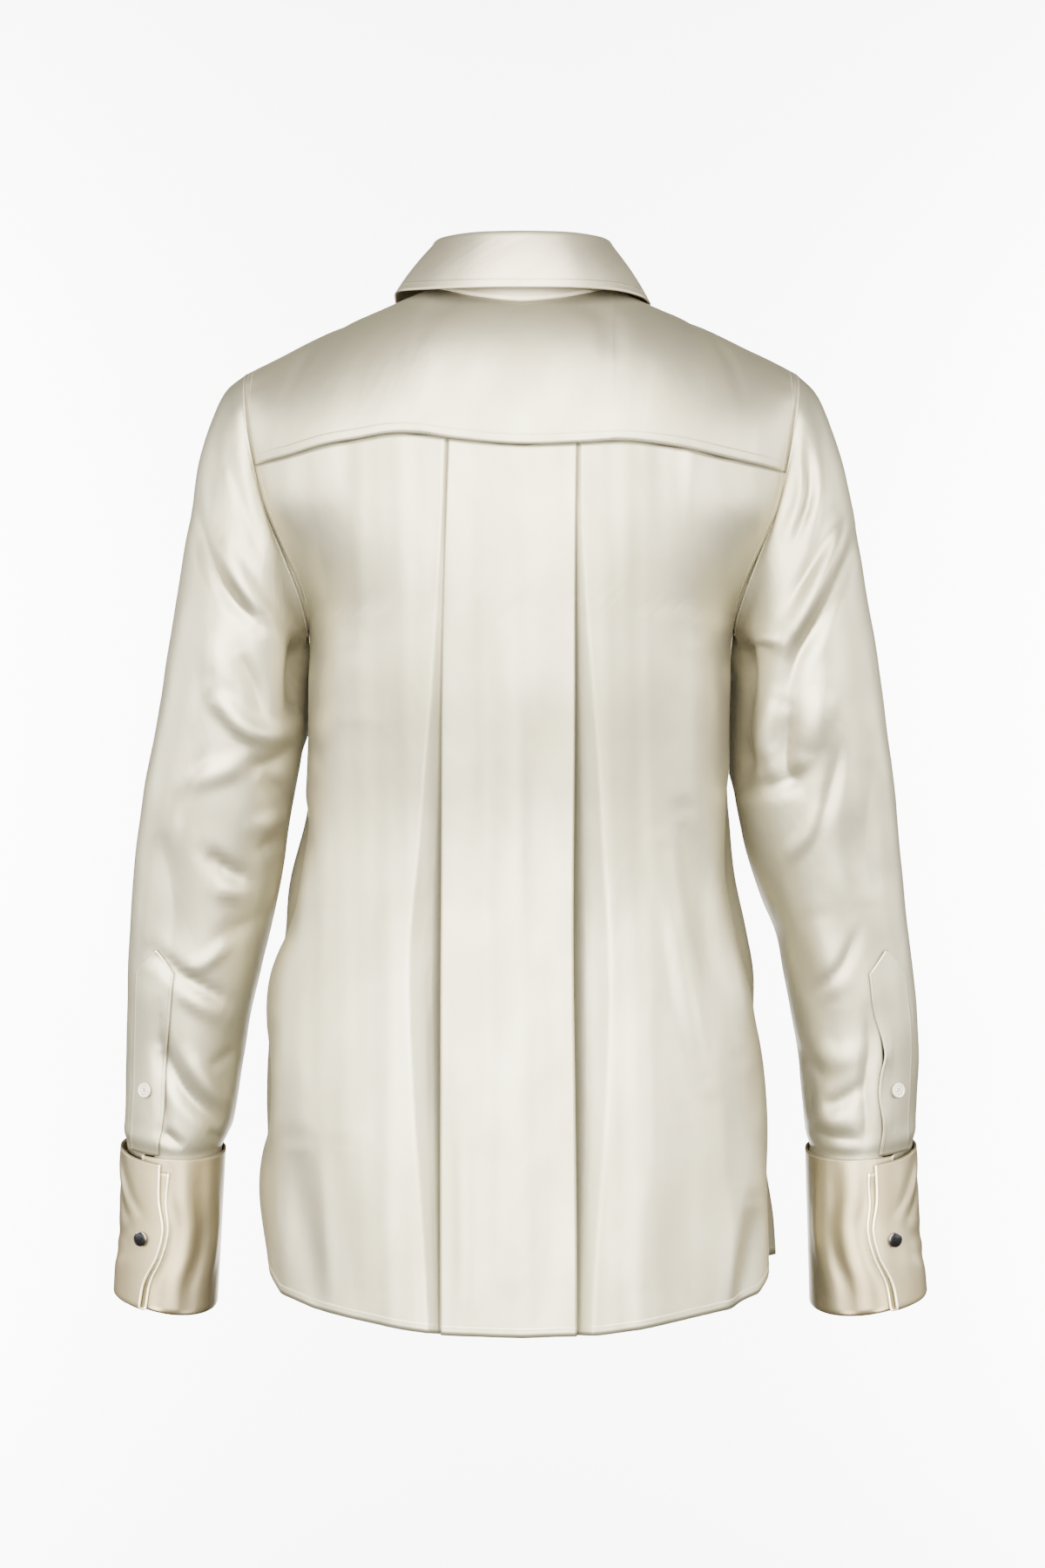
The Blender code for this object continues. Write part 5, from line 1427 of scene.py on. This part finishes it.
def cuff_droop(from_end, down):
    """How far the lapped end's top corner sinks, this far back from the end."""
    return CUFF_DROOP * (1 - down) * np.maximum(0.0, 1 - np.maximum(0.0, from_end) / CUFF_DROOP_RUN)


def cuff_grid(name, side):
    """Rows down the inner ply, round the fold and up the outer ply; columns end to end."""
    top_x, low_x, top_half, low_half, seam_x, seam_half = CUFFS[name]
    inner = np.linspace(CUFF_INNER_TOP_Z, CUFF_FOLD_Z + 1.6, 36)
    outer = np.linspace(CUFF_FOLD_Z + 1.6, CUFF_TOP_Z, 44)
    profile = [(z, -CUFF_PLY_GAP) for z in inner]
    for turn in np.linspace(0, math.pi, 8)[1:-1]:
        offset = -CUFF_PLY_GAP / 2 * (1 + math.cos(turn))
        profile.append((CUFF_FOLD_Z + 1.6 * (1 - math.sin(turn)), offset))
    profile += [(z, 0.0) for z in outer]
    rows = []
    for z, offset in profile:
        down = (CUFF_TOP_Z - z) / (CUFF_TOP_Z - CUFF_FOLD_Z)
        centre = top_x + (low_x - top_x) * down
        half = top_half + (low_half - top_half) * down
        if offset < -CUFF_PLY_GAP * 0.99:
            tight = max(0.0, 1 - (CUFF_INNER_TOP_Z - z) / 12)
            centre += (seam_x - centre) * tight
            offset += (seam_half - half - offset) * tight
        around = 2 * math.pi * half
        end = CUFF_END_SHARE + float(curve(CUFF_END, 1, down)) / around
        start = end - 1 - CUFF_LAP / around
        further = float(curve(CUFF_PLY_STEP, 1, down)) * min(1.0, -offset / CUFF_PLY_GAP)
        s = np.linspace(start, end + further / around, 176)
        from_end = (end - s) * around
        lap = hump((from_end - CUFF_LAP) / CUFF_LAP_RUN) * (from_end > CUFF_LAP)
        lap = np.where(from_end <= CUFF_LAP, 1.0, lap)
        r = half + offset + CUFF_LAP_RISE * lap - crease_push(CUFF_CREASES, from_end, z)
        r = r - crease_push(PANEL_CREASES, around - from_end, z) * (offset == 0)
        r = r - unrest(from_end, z * 0.8, 30.0, 0.12)
        a = 2 * np.pi * s
        height = z + cuff_rise(a, down) - cuff_droop(from_end, down)
        x = side * (centre + r * np.cos(a))
        rows.append(np.stack([x, CUFF_Y + r * np.sin(a), height], axis=1))
    return np.array(rows)[:, ::-side]


# The cuffs' ends carry a painted highlight: a pale rim colour along their pressed edges.
CUFF_SATIN = satin(
    "ivory_silk_satin_cuff",
    "93886A",
    "897C5D",
    [("foot", 0.0016, 0.0), ("left", 0.0016, 0.0), ("right", 0.0016, 0.0)],
    lustre=0.43,
    rim="F7EAC0",
)
for name, side in (("left", 1), ("right", -1)):
    points = outer_face(cuff_grid(name, side), CUFF_CLOTH)
    piece = shell(f"cuff_{name}_silk", points, CUFF_SATIN, thickness=1.1)
    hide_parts(f"cuff_{name}")
    sewing = stitches(
        f"cuff_{name}_stitches",
        points,
        [("foot", 1.6)],
        pitch=2.3,
        length=1.7,
        thread=0.14,
    )

# ---- Buttons -------------------------------------------------------------------------
# Shell buttons of 10 mm with a raised rim and four holes, sewn with crossed threads: six
# on the band, one on the collar stand and one on each sleeve placket.

BUTTON_RADIUS = 5.2
BUTTON_HEIGHT = 2.2
HOLE_SPREAD = 1.05
HOLE_RADIUS = 0.42
SPIN_STEPS = 40

PEARL, pearl_tree, pearl, pearl_cloud = uneven_gloss(
    "trocas_shell_button", 320.0, 0.16, 0.3, Coat_Weight=0.5, Coat_Roughness=0.12
)
pearl_colour = add_node(
    pearl_tree,
    "ShaderNodeMix",
    MIX_RESULT,
    {"Factor": pearl_cloud, MIX_A: tint("B9B59F"), MIX_B: tint("A9A48B")},
    data_type="RGBA",
)
pearl_tree.links.new(pearl_colour, pearl.inputs["Base Color"])


def stand_on(mesh, centre, away):
    """Turns a mesh made about +Z, in mm, to stand on the cloth at a spot."""
    turn = mathutils.Vector(away).to_track_quat("Z", "Y").to_matrix().to_4x4()
    spot = mathutils.Matrix.Translation(mathutils.Vector(centre) * MM)
    scale = mathutils.Matrix.Scale(MM, 4)
    bmesh.ops.transform(mesh, matrix=spot @ turn @ scale, verts=mesh.verts[:])


def spin(mesh, profile):
    """Turns a profile of radius and height about +Z."""
    verts = [mesh.verts.new((radius, 0, height)) for radius, height in profile]
    line = [mesh.edges.new(pair) for pair in zip(verts, verts[1:])]
    bmesh.ops.spin(
        mesh,
        geom=verts + line,
        cent=(0, 0, 0),
        axis=(0, 0, 1),
        dvec=(0, 0, 0),
        angle=2 * math.pi,
        steps=SPIN_STEPS,
        use_merge=True,
        use_duplicate=False,
    )


def button(name, centre, away):
    """One four-hole button with its crossed sewing thread."""
    mesh = bmesh.new()
    outer = BUTTON_RADIUS
    rim = [(outer - 1.5, 0.0), (outer - 0.7, 0.02), (outer - 0.1, 0.55), (outer, 1.1)]
    rim += [(outer - 0.15, 1.75), (outer - 0.6, BUTTON_HEIGHT), (outer - 1.2, 2.1)]
    rim += [(outer - 1.7, 1.75), (outer - 2.0, 1.6)]
    spin(mesh, rim)
    wall = outer - 2.0
    rings = bmesh.ops.create_circle(mesh, segments=SPIN_STEPS, radius=wall)["verts"]
    for a in (45, 135, 225, 315):
        spot = (HOLE_SPREAD * math.cos(math.radians(a)), HOLE_SPREAD * math.sin(math.radians(a)), 0)
        rings += bmesh.ops.create_circle(
            mesh, segments=12, radius=HOLE_RADIUS, matrix=mathutils.Matrix.Translation(spot)
        )["verts"]
    edges = list(dict.fromkeys(edge for vert in rings for edge in vert.link_edges))
    filled = bmesh.ops.triangle_fill(mesh, edges=edges, use_beauty=True)["geom"]
    faces = [item for item in filled if isinstance(item, bmesh.types.BMFace)]
    plate = list(dict.fromkeys(vert for face in faces for vert in face.verts))
    bmesh.ops.translate(mesh, verts=plate, vec=(0, 0, 1.6))
    raised = bmesh.ops.extrude_face_region(mesh, geom=faces)["geom"]
    low = [item for item in raised if isinstance(item, bmesh.types.BMVert)]
    bmesh.ops.translate(mesh, verts=low, vec=(0, 0, -1.4))
    bmesh.ops.recalc_face_normals(mesh, faces=mesh.faces[:])
    stand_on(mesh, centre, away)
    piece = add_piece(name + "_shell", mesh, PEARL)
    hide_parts(name)
    mesh = bmesh.new()
    for a, b in (((1, 1), (-1, -1)), ((1, -1), (-1, 1))):
        span = mathutils.Vector((b[0] - a[0], b[1] - a[1], 0)) * HOLE_SPREAD * 0.707
        turn = mathutils.Vector(span).to_track_quat("Z", "Y").to_matrix().to_4x4()
        scale = mathutils.Matrix.Diagonal((0.24, 0.24, span.length / 2, 1.0))
        lift = mathutils.Matrix.Translation((0, 0, 1.78))
        bmesh.ops.create_uvsphere(
            mesh, u_segments=8, v_segments=8, radius=1.0, matrix=lift @ turn @ scale
        )
    stand_on(mesh, centre, away)
    thread = add_piece(name + "_thread", mesh, THREAD)


FRONT_BUTTON_Z = (-92.0, -178.0, -264.0, -350.0, -436.0, -522.0)
SLEEVE_BUTTON_Z = -528.0
middle_line = settle(front_line(-1, 0, LAP_SHARE, 0.0), 0.0, LIFT)[::-1]
for k, z in enumerate(FRONT_BUTTON_Z):
    y, y_up, y_low = (np.interp(z + d, middle_line[:, 2], middle_line[:, 1]) for d in (0, 5, -5))
    away = unit(np.array([0.0, -10.0, y_up - y_low]))
    button(f"front_button_{k + 1}", np.array([0, y, z]) + away * (CLOTH / 2 + 0.32), away)
neck_y = (NECK[-1][1] + NECK[-1][4]) / 2 - COLLAR_CLOTH / 2 - 0.75
button("stand_button", (0, neck_y, (NECK[-1][2] + NECK[-1][5]) / 2), (0, -28, 2))
for name, side in (("left", 1), ("right", -1)):
    spot, away = on_sleeve(
        sleeve_forms[name],
        sum(PLACKET_ROUND) / 2,
        SLEEVE_BUTTON_Z,
        PLACKET_LIFT + CLOTH / 2 + 0.45,
    )
    mirrored = np.array([side, 1, 1])
    button(f"sleeve_button_{name}", spot * mirrored, away * mirrored)

# ---- Cuff studs ----------------------------------------------------------------------
# Plain round studs: a cut steel rim about 10 mm across round a domed black enamel face.

STUD_DROP = 55.0
STUD_BACK = 12.0
STUD_RADIUS = 5.0

STEEL = uneven_gloss("polished_steel_rim", 900.0, 0.12, 0.26, Base_Color="7C7973", Metallic=1.0)[0]
ENAMEL = uneven_gloss(
    "black_glass_enamel", 500.0, 0.22, 0.34, Base_Color="0C0B0B", Specular_IOR_Level=0.12
)[0]
STUD_RIM = [
    # radius, height
    (3.2, 0.0), (4.6, 0.1), (STUD_RADIUS, 1.2), (STUD_RADIUS, 2.5), (4.8, 3.05), (4.5, 3.15),
    (4.35, 2.9),
]
STUD_FACE = [(4.4, 2.8), (4.1, 3.0), (3.2, 3.2), (1.7, 3.35), (0.05, 3.4)]


def turned_piece(name, profile, spot, away, material):
    """A piece turned about its own axis that stands on the cloth."""
    mesh = bmesh.new()
    spin(mesh, profile)
    bmesh.ops.recalc_face_normals(mesh, faces=mesh.faces[:])
    stand_on(mesh, spot, away)
    return add_piece(name, mesh, material)


for name, side in (("left", 1), ("right", -1)):
    top_x, low_x, top_half, low_half, _, _ = CUFFS[name]
    down = STUD_DROP / (CUFF_TOP_Z - CUFF_FOLD_Z)
    centre_x = top_x + (low_x - top_x) * down
    half = top_half + (low_half - top_half) * down
    share = CUFF_END_SHARE + (float(curve(CUFF_END, 1, down)) - STUD_BACK) / (2 * math.pi * half)
    a = 2 * math.pi * share
    r = half + CUFF_LAP_RISE + CUFF_CLOTH / 2 + 0.2
    away = np.array([side * math.cos(a), math.sin(a), 0])
    height = CUFF_TOP_Z - STUD_DROP + cuff_rise(a, down) - cuff_droop(STUD_BACK, down)
    spot = np.array([side * centre_x, CUFF_Y, height]) + away * r
    rim_piece = turned_piece(f"cuff_stud_{name}_rim", STUD_RIM, spot, away, STEEL)
    for polygon in rim_piece.data.polygons:
        polygon.use_smooth = False
    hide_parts(f"cuff_stud_{name}")
    face_piece = turned_piece(f"cuff_stud_{name}_enamel", STUD_FACE, spot, away, ENAMEL)

# ---- Floor, light and camera ---------------------------------------------------------
# A plain pale paper floor that sweeps up into a backdrop, lit by wide soft lights from the
# viewer's side, and a camera level with the chest, behind the blouse.

BACKDROP, paper_tree, paper = new_material(
    "white_paper_sweep", Base_Color="F4F4F3", Roughness=0.9, Specular_IOR_Level=0.1
)
# The paper shows on its lit side only, so the front can be seen from behind it.
turned_away = add_node(paper_tree, "ShaderNodeNewGeometry", "Backfacing")
unseen = add_node(paper_tree, "ShaderNodeBsdfTransparent", "BSDF")
one_sided = add_node(
    paper_tree, "ShaderNodeMixShader", "Shader", {0: turned_away, 1: paper.outputs[0], 2: unseen}
)
paper_tree.links.new(one_sided, paper_tree.nodes["Material Output"].inputs["Surface"])

FLOOR_Z = -1.6
BEND_Y = -2.6
BEND_RADIUS = 0.9
SWEEP_TOP_Z = 4.0
SWEEP_NEAR_Y = 7.0
SWEEP_WIDTH = 12.0
sweep = bmesh.new()
profile = [(SWEEP_NEAR_Y, FLOOR_Z)]
profile += [
    (BEND_Y - BEND_RADIUS * math.sin(t), FLOOR_Z + BEND_RADIUS * (1 - math.cos(t)))
    for t in np.linspace(0, math.pi / 2, 14)
]
profile.append((BEND_Y - BEND_RADIUS, SWEEP_TOP_Z))
verts = [sweep.verts.new((-SWEEP_WIDTH / 2, y, z)) for y, z in profile]
line = [sweep.edges.new(pair) for pair in zip(verts, verts[1:])]
wide = bmesh.ops.extrude_edge_only(sweep, edges=line)["geom"]
moved = [item for item in wide if isinstance(item, bmesh.types.BMVert)]
bmesh.ops.translate(sweep, verts=moved, vec=(SWEEP_WIDTH, 0, 0))
sweep.normal_update()
bmesh.ops.reverse_faces(sweep, faces=[f for f in sweep.faces if f.normal.y + f.normal.z < 0])
paper_sweep = mesh_object("paper_sweep", sweep, BACKDROP)
paper_sweep.visible_glossy = False
paper_sweep.visible_diffuse = False

world = bpy.data.worlds.new("studio")
bpy.context.scene.world = world
world.use_nodes = True
ambient = world.node_tree.nodes["Background"].inputs
ambient["Color"].default_value = tint("CFCFB4")
ambient["Strength"].default_value = 0.03

LIGHTS = [
    # name, on both sides, place, aim, width, height, power
    ("key_softbox", False, (0.3, 3.7, 0.35), (0, 0, -0.3), 6.0, 2.6, 1180),
    ("overhead_softbox", False, (0.0, 2.6, 2.35), (0, 0, -0.1), 3.0, 2.0, 400),
    ("side_softbox", True, (3.6, 1.7, 0.3), (0, 0, -0.3), 2.2, 1.6, 205),
    ("rim_softbox", True, (3.4, -1.0, 0.3), (0.15, 0, -0.3), 1.9, 1.6, 100),
    ("low_softbox", False, (0.1, 2.3, -0.9), (0, 0, -0.6), 1.6, 0.3, 20),
    ("front_softbox", False, (0.0, -1.5, -0.88), (0, 0, -0.35), 1.2, 0.4, 15),
    ("backdrop_light", True, (1.7, -2.4, -0.25), (0.9, -3.5, -0.35), 0.5, 2.0, 310),
]
for name, paired, place, aim, width, height, power in LIGHTS:
    for suffix, mirror in (("_left", 1), ("_right", -1)) if paired else (("", 1),):
        lamp = bpy.data.lights.new(name + suffix, "AREA")
        lamp.shape = "RECTANGLE"
        lamp.size = width
        lamp.size_y = height
        lamp.energy = power
        holder = add_object(name + suffix, lamp)
        holder.location = (mirror * place[0], *place[1:])
        holder.visible_camera = False
        target = mathutils.Vector((mirror * aim[0], *aim[1:]))
        holder.rotation_mode = "QUATERNION"
        holder.rotation_quaternion = (target - holder.location).to_track_quat("-Z", "Y")

camera_data = bpy.data.cameras.new("camera")
camera_data.sensor_width = 36.0
camera_data.lens = 101.7
camera = add_object("camera", camera_data)
camera.location = (0.0, 3.0, -0.321)
camera.rotation_euler = (math.pi / 2, 0.0, math.pi)
bpy.context.scene.camera = camera
